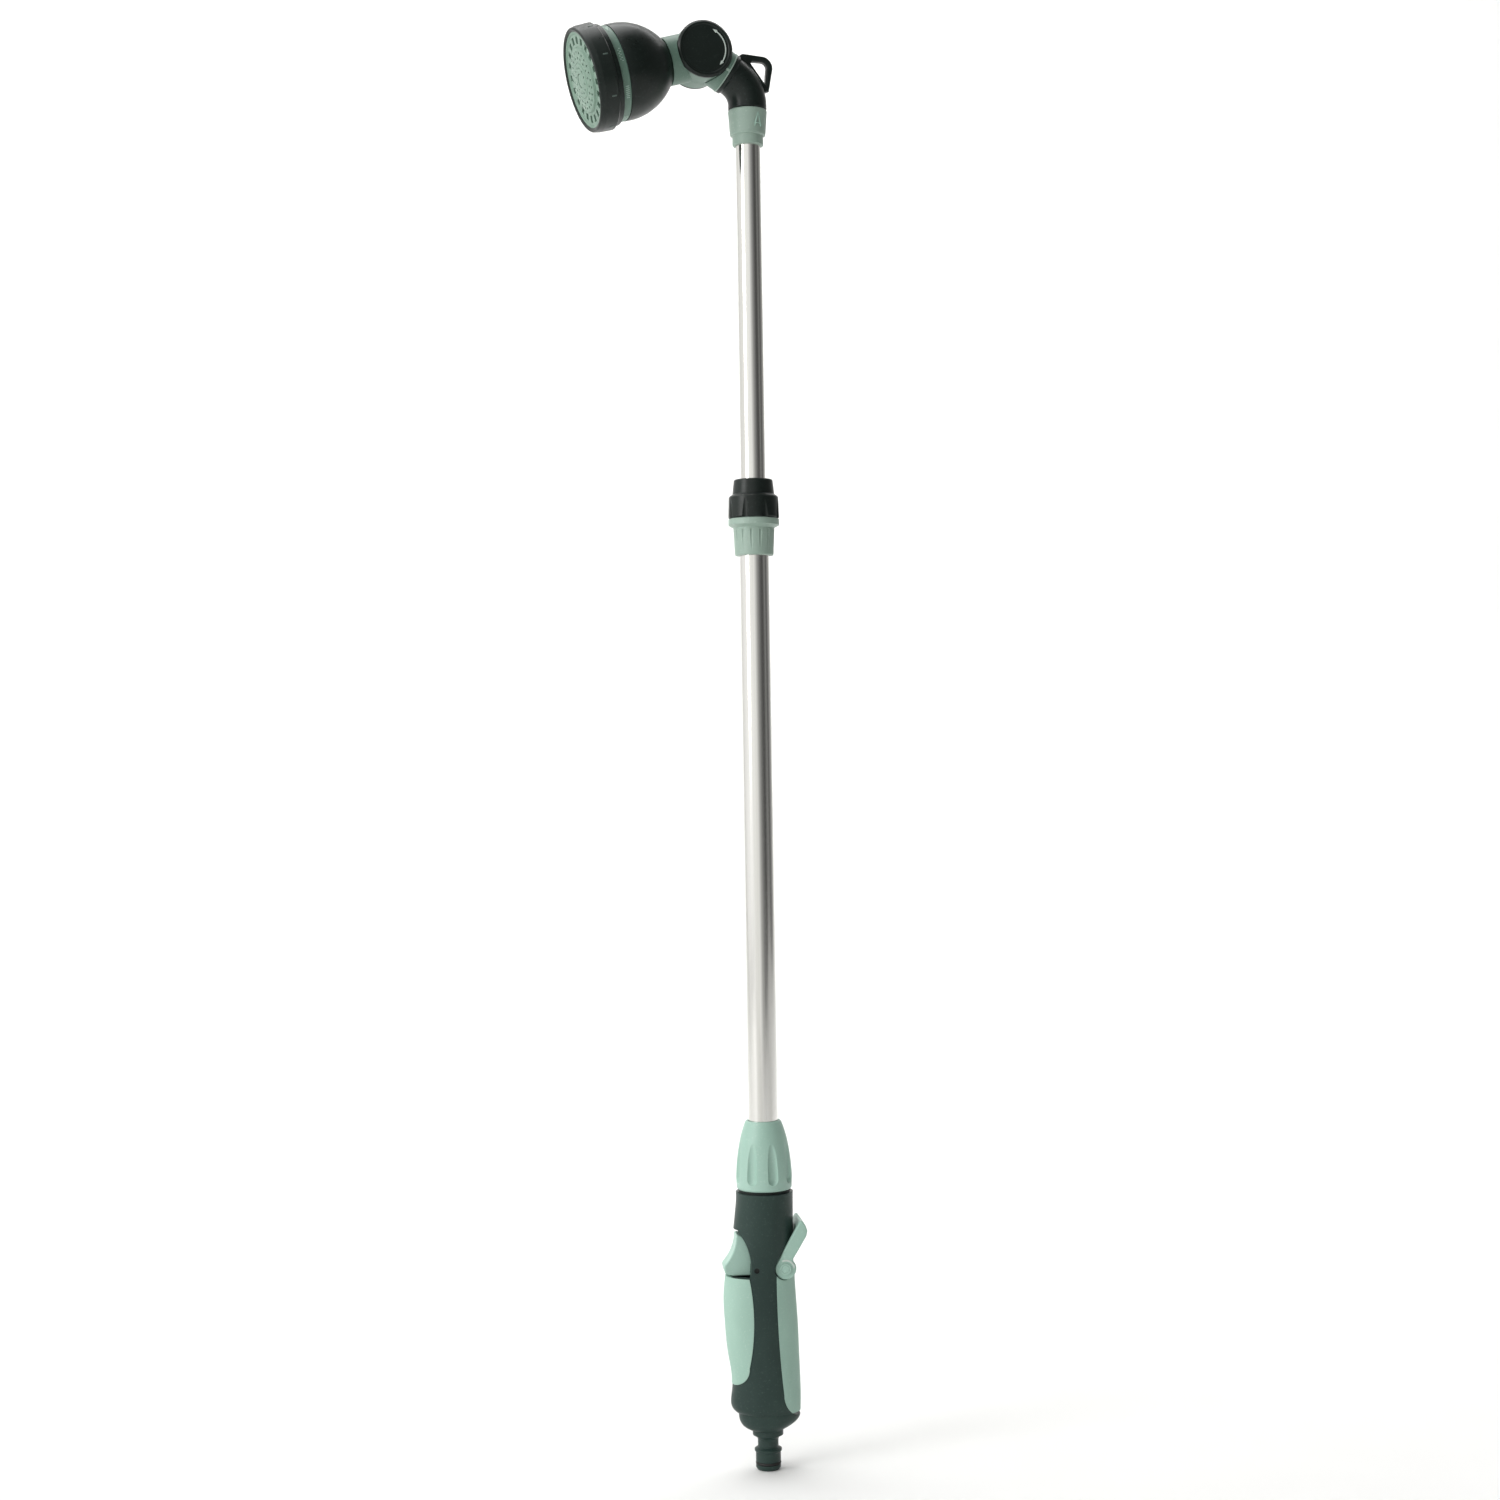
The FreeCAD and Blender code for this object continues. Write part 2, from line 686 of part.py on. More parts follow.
def flow_lever():
    """Thumb lever: two side arms on the spindle, joined by a pad behind the handle."""
    outline = [
        ("21.7", "161"),
        ("24.4", "157.4"),
        ("25.8", "153.6"),
        ("25", "150.2"),
        ("lever_x + lever_hub * sin(40)", "lever_z + lever_hub * cos(40)"),
        ("lever_x + lever_hub * sin(150)", "lever_z + lever_hub * cos(150)",
         "lever_x + lever_hub * sin(210)", "lever_z + lever_hub * cos(210)"),
        ("lever_x - lever_hub", "lever_z", "lever_x - lever_hub * sin(lever_slant)",
         "lever_z + lever_hub * cos(lever_slant)"),
    ]
    lever = plate("lever_blank", "2 * lever_outside", outline)
    rounded(lever, "1.2", cross_edges)
    rounded(lever, "0.9", side_edges)
    inside = block("lever_inside_space", ("-20", "-lever_inside", "100"),
                   ("60", "lever_inside", "200"))
    swing = cross_cylinder("lever_pad_swing", "13.6", "lever_x", "lever_z", "-8", "8")
    keep = cut("lever_gap", inside, block("lever_pad_part", ("18.8", "-30", "lever_z + 9"),
                                          ("60", "30", "200")))
    hole = cross_cylinder("lever_hole", "spindle_radius - 1.2", "lever_x", "lever_z", "-30", "30")
    bosses = fused(
        "lever_bosses",
        cross_cylinder("lever_boss_left", "3.6", "lever_x", "lever_z", "-lever_outside - 0.8",
                       "-lever_outside + 1"),
        cross_cylinder("lever_boss_right", "3.6", "lever_x", "lever_z", "lever_outside - 1",
                       "lever_outside + 0.8"))
    cut("flow_lever", fused("lever_solid", lever, bosses), keep, hole, swing)
    plug = cross_cylinder("spindle_plug", "spindle_radius", "lever_x", "lever_z",
                          "-lever_inside", "lever_inside")
    ends = cross_cylinder("spindle_ends", "spindle_radius - 1.2", "lever_x", "lever_z",
                          "-lever_outside - 0.5", "lever_outside + 0.5")
    port = cylinder("spindle_port", "2.2", "lever_z - 6", "lever_z + 6", "lever_x")
    grooves = [spindle_ring("spindle_groove_%d" % side, side * 4, "0.72") for side in (-1, 1)]
    cut("flow_spindle", fused("spindle_solid", plug, ends), port, *grooves)
    group("spindle_o_rings", *[spindle_ring("spindle_o_ring_%d" % side, side * 4, "0.7")
                               for side in (-1, 1)])


def spindle_ring(label, y, section):
    ring = doc.addObject("Part::Torus", label)
    bind(ring, Radius1="spindle_radius - 0.7", Radius2=section)
    return put(ring, shift("lever_x", y, "lever_z"), turn("x", 90))


# --- union and tubes ------------------------------------------------------------------

def flutes(label, count, radius, low, high, wide, narrow, start):
    """Tapering grooves round a nut: wide and round at one end, pointed at the other."""
    cutters = []
    for number in range(count):
        angle = "%s + %d * 360 / %d" % (start, number, count)
        taper = doc.addObject("Part::Cone", "%s_taper_%d" % (label, number))
        bind(taper, Radius1=wide, Radius2=narrow, Height="(%s) - (%s)" % (high, low))
        put(taper, turn("z", angle), shift(radius, 0, low))
        ball = doc.addObject("Part::Sphere", "%s_ball_%d" % (label, number))
        bind(ball, Radius=wide)
        put(ball, turn("z", angle), shift(radius, 0, low))
        cutters += [taper, ball]
    return cutters


def union_nut():
    """Fluted nut that draws the lower tube's ferrule onto the spigot."""
    blank = turned("union_nut_blank", [
        ("spigot_radius + 0.4", "nut_bottom"),
        ("17", "nut_bottom"),
        ("17.6", "nut_bottom + 1"),
        ("17.9", "187"),
        ("16.9", "200", "14.6", "213"),
        ("12.9", "218.6"),
        ("11.6", "nut_top - 0.8"),
        ("10.9", "nut_top"),
        ("lower_tube_radius + 0.3", "nut_top"),
        ("lower_tube_radius + 0.3", "209.6"),
        ("spigot_radius + 0.4", "209.6"),
    ])
    cutters = flutes("union_flute", 8, "19.5", "187", "213", "3.9", "4.3", "13")
    cut("union_nut", blank, *cutters)
    turned("union_ferrule", [
        ("lower_tube_radius", "spigot_top"),
        ("spigot_radius", "spigot_top"),
        ("spigot_radius", "spigot_top + 3"),
        ("lower_tube_radius + 1", "209.2"),
        ("lower_tube_radius", "209.2"),
    ])
    torus("union_o_ring", "lower_tube_radius + 0.7", "0.68", "spigot_top - 1.2")


def tubes():
    """The outer aluminium tube, and the inner one with its guide and seals."""
    turned("lower_tube", [
        ("lower_tube_bore", "lower_tube_bottom"),
        ("lower_tube_radius", "lower_tube_bottom"),
        ("lower_tube_radius", "lower_tube_top"),
        ("lower_tube_bore", "lower_tube_top"),
    ])
    turned("upper_tube", [
        ("upper_tube_bore", "upper_tube_bottom"),
        ("upper_tube_radius", "upper_tube_bottom"),
        ("upper_tube_radius", "upper_tube_top"),
        ("upper_tube_bore", "upper_tube_top"),
    ])
    guide = turned("piston_guide_blank", [
        ("5.6", "upper_tube_bottom - 14"),
        ("lower_tube_bore - 0.08", "upper_tube_bottom - 14"),
        ("lower_tube_bore - 0.08", "upper_tube_bottom"),
        ("upper_tube_bore", "upper_tube_bottom"),
        ("upper_tube_bore", "upper_tube_bottom + 12"),
        ("5.6", "upper_tube_bottom + 12"),
    ])
    heights = ("upper_tube_bottom - 10", "upper_tube_bottom - 4.5")
    grooves = [torus("piston_groove_%d" % number, "lower_tube_bore - 1.06", "1.02", height)
               for number, height in enumerate(heights)]
    cut("piston_guide", guide, *grooves)
    group("piston_o_rings", *[torus("piston_ring_%d" % number, "lower_tube_bore - 1.06", "1", height)
                              for number, height in enumerate(heights)])


def twist_lock():
    """Ribbed sleeve on the lower tube, split collet and lock nut round the upper tube."""
    blank = turned("collar_sleeve_blank", [
        ("lower_tube_radius", "sleeve_bottom"),
        ("12.0", "sleeve_bottom"),
        ("12.4", "sleeve_bottom + 0.6"),
        ("13.2", "sleeve_bottom + 17.6"),
        ("15.4", "sleeve_bottom + 18.8"),
        ("16.3", "sleeve_bottom + 19.4"),
        ("16.3", "lock_bottom - 0.9"),
        ("15.7", "lock_bottom - 0.3"),
        ("11.3", "lock_bottom - 0.3"),
        ("11.3", "lock_bottom + 9"),
        ("upper_tube_radius + 0.3", "lock_bottom + 9"),
        ("upper_tube_radius + 0.3", "lower_tube_top"),
        ("lower_tube_radius", "lower_tube_top"),
    ])
    ribs = [put(doc.addObject("Part::Cylinder", "sleeve_rib_%d" % number),
                turn("z", "%d * 360 / 14" % number), shift("13.35", 0, "sleeve_bottom + 1.6"))
            for number in range(14)]
    for rib in ribs:
        bind(rib, Radius="0.9", Height="14.6")
    cut("collar_sleeve", blank, *ribs)

    collet = turned("clamp_collet_blank", [
        ("upper_tube_radius + running_gap", "lock_bottom + 9.2"),
        ("11", "lock_bottom + 9.2"),
        ("11", "lock_bottom + 12"),
        ("9.6", "lock_top - 4.2"),
        ("upper_tube_radius + running_gap", "lock_top - 4.2"),
    ])
    slits = [put(block("collet_slit_%d" % number, ("0", "-0.6", "lock_bottom + 12"),
                       ("16", "0.6", "lock_top")),
                 turn("z", "%d * 90 + 20" % number), shift("0", "-0.6", "lock_bottom + 12"))
             for number in range(4)]
    cut("clamp_collet", collet, *slits)

    nut = turned("lock_nut_blank", [
        ("11.7", "lock_bottom"),
        ("15.9", "lock_bottom"),
        ("16.3", "lock_bottom + 0.6"),
        ("15.9", "lock_top - 11.4"),
        ("15.3", "lock_top - 10.6"),
        ("13.5", "lock_top - 9.4"),
        ("12.5", "lock_top - 0.6"),
        ("12", "lock_top"),
        ("upper_tube_radius + 0.4", "lock_top"),
        ("upper_tube_radius + 0.4", "lock_top - 3.6"),
        ("10.2", "lock_top - 3.6"),
        ("11.7", "lock_bottom + 12.4"),
    ])
    cutters = flutes("lock_groove", 8, "18.2", "lock_bottom + 0.5", "lock_bottom + 12", "3.1",
                     "2.3", "20")
    cut("lock_nut", nut, *cutters)


# --- swivel and elbow ------------------------------------------------------------------

def swivel():
    """Collar on the upper tube, with the elbow's spigot turning in it."""
    collar = turned("tube_collar", [
        ("upper_tube_radius", "collar_bottom"),
        ("9.4", "collar_bottom"),
        ("9.9", "collar_bottom + 0.5"),
        ("9.9", "collar_bottom + 6"),
        ("11.2", "collar_bottom + 6.6"),
        ("11.4", "collar_bottom + 7.4"),
        ("12.5", "collar_top - 0.8"),
        ("12.1", "collar_top"),
        ("10", "collar_top"),
        ("10", "upper_tube_top"),
        ("upper_tube_radius", "upper_tube_top"),
    ])
    torus("swivel_o_ring", "9.0", "0.93", "collar_top - 2.2")
    return collar


def elbow():
    """Bent outlet pipe with a hanging loop behind it."""
    bend = doc.addObject("Part::Torus", "elbow_bend")
    bind(bend, Radius1="bend_radius", Radius2="elbow_radius", Angle3="bend_angle")
    put(bend, shift("-bend_radius", 0, "elbow_start"), turn("x", 90))
    bore = doc.addObject("Part::Torus", "elbow_bend_bore")
    bind(bore, Radius1="bend_radius", Radius2="elbow_bore", Angle3="bend_angle")
    put(bore, shift("-bend_radius", 0, "elbow_start"), turn("x", 90))
    foot = turned("elbow_foot", [
        ("0", "upper_tube_top + 0.4"),
        ("9.6", "upper_tube_top + 0.4"),
        ("9.6", "collar_top - 3.2"),
        ("8.1", "collar_top - 3.2"),
        ("8.1", "collar_top - 1.2"),
        ("9.6", "collar_top - 1.2"),
        ("9.6", "collar_top + 0.4"),
        ("11.9", "collar_top + 0.4"),
        ("elbow_radius", "collar_top + 0.9"),
        ("elbow_radius", "elbow_start"),
        ("0", "elbow_start"),
    ])
    out_end = (PIVOT, turn("y", "180 - bend_angle"))
    mouth = turned("elbow_mouth", [
        ("0", "knuckle_reach"),
        ("elbow_rim - 0.4", "knuckle_reach"),
        ("elbow_rim", "knuckle_reach + 0.5"),
        ("elbow_rim", "knuckle_reach + 2.2"),
        ("elbow_radius", "knuckle_reach + 3.2"),
        ("elbow_radius", "knuckle_reach + bend_run"),
        ("0", "knuckle_reach + bend_run"),
    ])
    put(mouth, *out_end)
    mouth_bore = cylinder("elbow_mouth_bore", "9", "knuckle_reach - 1", "knuckle_reach + bend_run")
    put(mouth_bore, *out_end, shift(0, 0, "knuckle_reach - 1"))
    foot_bore = cylinder("elbow_foot_bore", "elbow_bore", "collar_top - 10", "elbow_start")
    loop = plate("elbow_loop", "5", [
        ("-8", "896"),
        ("-4.5", "904"),
        ("-3", "904.6"),
        ("9.5", "903.8"),
        ("15", "901.4", "16.8", "895.6"),
        ("14.2", "881.5"),
        ("8", "880"),
    ], [
        ("2.2", "898.9"),
        ("3.4", "900"),
        ("9.6", "900"),
        ("12.1", "898.8", "12.8", "895.6"),
        ("11.9", "886"),
    ])
    rounded(loop, "1.1", side_edges)
    pipe = cut("elbow_pipe", fused("elbow_solid", bend, foot, mouth, loop_outside(loop)),
               bore, mouth_bore, foot_bore)
    result = group("elbow", pipe)
    return put(result, SWIVEL)


def loop_outside(loop):
    """The loop as far as it stands outside the pipe."""
    clear = doc.addObject("Part::Torus", "elbow_loop_trim")
    bind(clear, Radius1="bend_radius", Radius2="elbow_radius - 1.5")
    put(clear, shift("-bend_radius", 0, "elbow_start"), turn("x", 90))
    return cut("elbow_loop_trimmed", loop, clear)


# --- knuckle ---------------------------------------------------------------------------

def knuckle():
    """Elbow side of the tilt joint: a saddle and the rear half of the drum."""
    drum = cross_cylinder("rear_drum", "drum_radius", 0, 0, "drum_gap / 2", "drum_half")
    saddle = cylinder("saddle_blank", "elbow_rim", "6", "knuckle_reach")
    swing = cross_cylinder("saddle_swing", "drum_radius + drum_gap", 0, 0, "-40", "drum_gap / 2")
    cap_seat = cross_cylinder("saddle_cap_seat", "drum_radius + 0.4", 0, 0, "drum_half", "40")
    spigot = cylinder("knuckle_spigot", "9", "14", "knuckle_reach + bend_run")
    body = fused("knuckle_solid", cut("saddle", fused("saddle_pair", saddle, spigot), swing, cap_seat),
                 drum)
    water = cylinder("knuckle_water", "6", "0", "knuckle_reach + bend_run + 1")
    hollow = cross_cylinder("rear_hollow", "11", 0, 0, "0", "drum_half - 2.4")
    bolt_hole = cross_cylinder("rear_bolt_hole", "2.5", 0, 0, "0", "40")
    groove = knuckle_ring("rear_ring_groove", "0", "1.05")
    pipe = cut("knuckle_pipe", body, water, hollow, bolt_hole, groove)
    put(group("elbow_knuckle", pipe), *KNUCKLE)
    put(group("knuckle_o_ring", knuckle_ring("knuckle_ring", "0.15", "0.9")), *KNUCKLE)


def knuckle_ring(label, y, section):
    ring = doc.addObject("Part::Torus", label)
    bind(ring, Radius1="14", Radius2=section)
    return put(ring, shift(0, y, 0), turn("x", 90))


def pivot_cap(label, side, places):
    """Bevelled disc over one end of the drum; side is -1 for the front and 1 for the rear."""
    cap = turned(label, [
        ("0", "drum_half + 0.02"),
        ("drum_radius + 0.1", "drum_half + 0.02"),
        ("drum_radius + 0.1", "drum_half + 1.3"),
        ("drum_radius - 1.2", "drum_half + 2.6"),
        ("drum_radius - 2.4", "drum_half + 2.5"),
        ("drum_radius - 2.8", "drum_half + 2.1"),
        ("0", "drum_half + 2.1"),
    ])
    return put(cap, *places, turn("x", -90 * side))


def neck():
    """Head side of the tilt joint: the front half of the drum and the hollow neck."""
    drum = cross_cylinder("front_drum", "drum_radius", 0, 0, "-drum_half", "-drum_gap / 2")
    tube = cylinder("neck_tube", "neck_outer", "8", "bell_back + 1")
    flare = cylinder("neck_spigot", "11", "bell_back", "bell_back + 9")
    swing = cross_cylinder("neck_swing", "drum_radius + drum_gap", 0, 0, "-drum_gap / 2", "40")
    cap_seat = cross_cylinder("neck_cap_seat", "drum_radius + 0.4", 0, 0, "-40", "-drum_half")
    body = fused("neck_solid", cut("neck_trimmed", fused("neck_pair", tube, flare), swing, cap_seat),
                 drum)
    water = cylinder("neck_water", "8", "0", "bell_back + 20")
    hollow = cross_cylinder("front_hollow", "11", 0, 0, "-drum_half + 2.4", "0")
    bolt_hole = cross_cylinder("front_bolt_hole", "2.5", 0, 0, "-40", "0")
    groove = knuckle_ring("front_ring_groove", "0", "1.05")
    put(group("head_neck", cut("neck_pipe", body, water, hollow, bolt_hole, groove)), *HEAD)


def pivot_bolt():
    """Through bolt of the tilt joint and its nut, under the two caps."""
    shank = cross_cylinder("bolt_shank", "2.4", 0, 0, "-drum_half + 0.1", "drum_half - 0.2")
    head = cross_cylinder("bolt_head", "4.4", 0, 0, "-drum_half + 2.5", "-drum_half + 4.9")
    put(group("pivot_bolt", fused("bolt_solid", shank, head)), *KNUCKLE)
    prism = doc.addObject("Part::Prism", "pivot_nut_prism")
    prism.Polygon = 6
    bind(prism, Circumradius="4.6", Height="3")
    put(prism, shift(0, "drum_half - 2.5", 0), turn("x", 90))
    hole = cross_cylinder("pivot_nut_hole", "2.4", 0, 0, "0", "drum_half")
    put(group("pivot_nut", cut("pivot_nut_solid", prism, hole)), *KNUCKLE)


# --- spray head --------------------------------------------------------------------------

def bell():
    """Bell-shaped water chamber with the pattern ring at its front."""
    housing = turned("bell_housing", [
        ("11", "bell_back + 1"),
        ("14.2", "bell_back + 1"),
        ("15", "bell_back + 1.6"),
        ("25.6", "bell_back + 14", "29.9", "bell_front"),
        ("27.4", "bell_front"),
        ("27.4", "ring_front"),
        ("25.2", "ring_front"),
        ("25.2", "bell_front"),
        ("22.6", "bell_back + 16", "12.6", "bell_back + 4"),
        ("11", "bell_back + 4"),
    ])
    put(housing, *HEAD)
    ring = turned("pattern_ring", [
        ("27.4", "bell_front"),
        ("29.3", "bell_front"),
        ("29.7", "bell_front + 0.5"),
        ("29.7", "ring_front - 0.5"),
        ("29.3", "ring_front"),
        ("27.4", "ring_front"),
    ])
    put(ring, *HEAD)
    gasket = turned("face_gasket", [
        ("21.5", "ring_front - 1.6"),
        ("25.1", "ring_front - 1.6"),
        ("25.1", "ring_front + 0.6"),
        ("21.5", "ring_front + 0.6"),
    ])
    put(gasket, *HEAD)


def port_disc():
    """Fixed disc in the bell that feeds one set of outlets, with the screw post."""
    disc = turned("port_disc_blank", [
        ("3", "bell_front - 6"),
        ("5", "bell_front - 6"),
        ("5", "ring_front - 3.8"),
        ("25", "ring_front - 3.8"),
        ("25", "ring_front - 1.7"),
        ("3", "ring_front - 1.7"),
    ])
    ports = [put(cylinder("port_%d" % number, "2.6", "0", "99"),
                 turn("z", "%d * 360 / 9" % number), shift("16", 0, "0"))
             for number in range(3)]
    put(group("port_disc", cut("port_disc_solid", disc, *ports)), *HEAD)


def selector():
    """Turning rim with the face plate, outlet insert and centre screw."""
    rim = turned("selector_rim", [
        ("30.2", "rim_back - 3.2"),
        ("31.4", "rim_back - 3.2"),
        ("31.8", "rim_back"),
        ("32.6", "rim_back + 0.2"),
        ("rim_radius", "rim_back + 1"),
        ("rim_radius - 0.3", "rim_front - 4"),
        ("rim_radius - 0.9", "rim_front - 0.9"),
        ("rim_radius - 1.5", "rim_front - 0.1", "rim_radius - 2.4", "rim_front"),
        ("face_radius", "rim_front - 0.6"),
        ("face_radius", "rim_front - 4.2"),
        ("face_radius - 2", "rim_front - 4.2"),
        ("face_radius - 2", "rim_back - 1"),
        ("30.2", "rim_back - 1"),
    ])
    put(rim, *HEAD)

    plate_blank = turned("face_plate_blank", [
        ("3", "rim_back + 1"),
        ("6", "rim_back + 1"),
        ("6", "rim_front - 4.1"),
        ("face_radius - 0.02", "rim_front - 4.1"),
        ("face_radius - 0.02", "rim_front - 1"),
        ("28.6", "rim_front - 1"),
        ("28", "rim_front - 1.7"),
        ("20.4", "rim_front - 1.7"),
        ("19.6", "rim_front - 0.5"),
        ("15", "rim_front + 0.1", "11", "rim_front + 0.3"),
        ("11", "rim_front - 1.6"),
        ("3", "rim_front - 1.6"),
    ])
    slots = [put(block("face_slot_%d" % number, ("0", "0", "0"), ("4.4", "3.6", "20")),
                 turn("z", "%d * 360 / slot_count" % number),
                 shift("slot_pitch_radius - 2.2", "-1.8", "rim_front - 12"))
             for number in range(int(value("slot_count")))]
    holes = []
    for ring, count, radius in (("17.2", 24, "0.8"), ("13.8", 18, "0.8")):
        for number in range(count):
            hole = cylinder("face_hole_%s_%d" % (ring.replace(".", "_"), number), radius, "0", "99")
            holes.append(put(hole, turn("z", "%d * 360 / %d" % (number, count)), shift(ring, 0, "0")))
    put(group("face_plate", cut("face_plate_solid", plate_blank, *slots, *holes)), *HEAD)

    insert = turned("outlet_insert_blank", [
        ("3", "rim_front - 1.6"),
        ("10.9", "rim_front - 1.6"),
        ("10.9", "rim_front + 0.2"),
        ("10.3", "rim_front + 0.6"),
        ("5", "rim_front + 0.9", "4.4", "rim_front + 0.9"),
        ("4.4", "rim_front - 0.2"),
        ("3", "rim_front - 0.2"),
    ])
    jets = [put(cylinder("jet_%d" % number, "0.7", "0", "99"),
                turn("z", "%d * 360 / 12" % number), shift("7.8", 0, "0"))
            for number in range(12)]
    put(group("outlet_insert", cut("outlet_insert_solid", insert, *jets)), *HEAD)

    screw = turned("centre_screw", [
        ("0", "bell_front - 5"),
        ("1.4", "bell_front - 5"),
        ("2.9", "bell_front - 3.4"),
        ("2.9", "rim_front - 0.2"),
        ("4.2", "rim_front - 0.2"),
        ("4", "rim_front + 0.7"),
        ("0", "rim_front + 1"),
    ])
    put(screw, *HEAD)


def detent():
    """Ball and spring that hold the rim at each spray pattern."""
    ball = doc.addObject("Part::Sphere", "detent_ball_solid")
    bind(ball, Radius="1.5")
    put(ball, shift("19", 0, "ring_front + 1.2"))
    put(group("detent_ball", ball), *HEAD)
    put(group("detent_spring", put(
        torus("detent_washer", "1.2", "0.3", "0"), shift("19", 0, "ring_front - 0.9"))), *HEAD)


# --- the whole wand ------------------------------------------------------------------------

hose_connector()
valve_body()
valve_stem()
valve_spring()
handle()
trigger()
flow_lever()
union_nut()
tubes()
twist_lock()
swivel()
elbow()
knuckle()
pivot_cap("pivot_cap_front", -1, HEAD)
pivot_cap("pivot_cap_rear", 1, KNUCKLE)
neck()
pivot_bolt()
bell()
port_disc()
selector()
detent()

NODES = (
    "hose_connector", "connector_o_ring", "connector_gasket",
    "valve_body", "valve_stem", "poppet_washer", "stem_packing", "valve_spring",
    "handle_shell_left", "handle_shell_right", "front_grip", "rear_grip", "shell_screws",
    "trigger", "trigger_pin", "flow_lever", "flow_spindle", "spindle_o_rings",
    "union_nut", "union_ferrule", "union_o_ring",
    "lower_tube", "upper_tube", "piston_guide", "piston_o_rings",
    "collar_sleeve", "clamp_collet", "lock_nut",
    "tube_collar", "swivel_o_ring", "elbow", "elbow_knuckle", "knuckle_o_ring",
    "pivot_cap_front", "pivot_cap_rear", "pivot_bolt", "pivot_nut", "head_neck",
    "bell_housing", "pattern_ring", "face_gasket", "port_disc",
    "selector_rim", "face_plate", "outlet_insert", "centre_screw",
    "detent_ball", "detent_spring",
)

doc.recompute()
faults = [thing.Label for thing in doc.Objects if set(thing.State) & {"Invalid", "Error"}]
if faults:
    raise RuntimeError("failed features: " + ", ".join(faults))
solids = {}
for name in NODES:
    shape = doc.getObjectsByLabel(name)[0].Shape
    if shape.isNull() or not shape.isValid() or not shape.Solids:
        raise RuntimeError("bad shape: " + name)
    solids[name] = shape

os.makedirs("parts", exist_ok=True)
for name, shape in solids.items():
    shape.exportStep("parts/%s.step" % name)
    print("%-20s %2d solid(s) %10.1f mm3" % (name, len(shape.Solids), shape.Volume))
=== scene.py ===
import json
import math

import bmesh
import bpy
from mathutils import Matrix, Vector


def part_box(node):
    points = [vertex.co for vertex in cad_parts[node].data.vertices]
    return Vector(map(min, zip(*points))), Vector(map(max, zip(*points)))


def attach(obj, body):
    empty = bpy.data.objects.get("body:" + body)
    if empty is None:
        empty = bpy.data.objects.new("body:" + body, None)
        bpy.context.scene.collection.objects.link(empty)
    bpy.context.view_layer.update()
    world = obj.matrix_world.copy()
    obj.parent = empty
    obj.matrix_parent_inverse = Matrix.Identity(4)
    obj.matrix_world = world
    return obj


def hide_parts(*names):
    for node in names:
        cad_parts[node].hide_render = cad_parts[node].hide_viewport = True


# The looks of the telescopic watering wand: procedural plastics and metal on the
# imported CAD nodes, and the small moulded marks that stand on them. Metres.

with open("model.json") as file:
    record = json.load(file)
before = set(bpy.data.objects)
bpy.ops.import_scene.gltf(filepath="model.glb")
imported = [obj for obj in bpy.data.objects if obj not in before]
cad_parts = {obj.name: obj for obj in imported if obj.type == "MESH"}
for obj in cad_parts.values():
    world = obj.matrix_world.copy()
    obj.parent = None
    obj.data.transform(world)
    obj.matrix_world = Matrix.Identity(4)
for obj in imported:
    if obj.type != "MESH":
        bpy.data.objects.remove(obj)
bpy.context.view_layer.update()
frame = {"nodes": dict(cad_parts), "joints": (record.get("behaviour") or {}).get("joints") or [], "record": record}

NODES = frame["nodes"]
JOINTS = {joint["name"]: joint for joint in frame["joints"]}
MM = 0.001


def linear(red, green, blue):
    """An 8-bit display colour as the scene-linear colour that shaders take."""
    def channel(level):
        level /= 255
        return level / 12.92 if level <= 0.04045 else ((level + 0.055) / 1.055) ** 2.4

    return (channel(red), channel(green), channel(blue), 1)


# --- materials ------------------------------------------------------------------

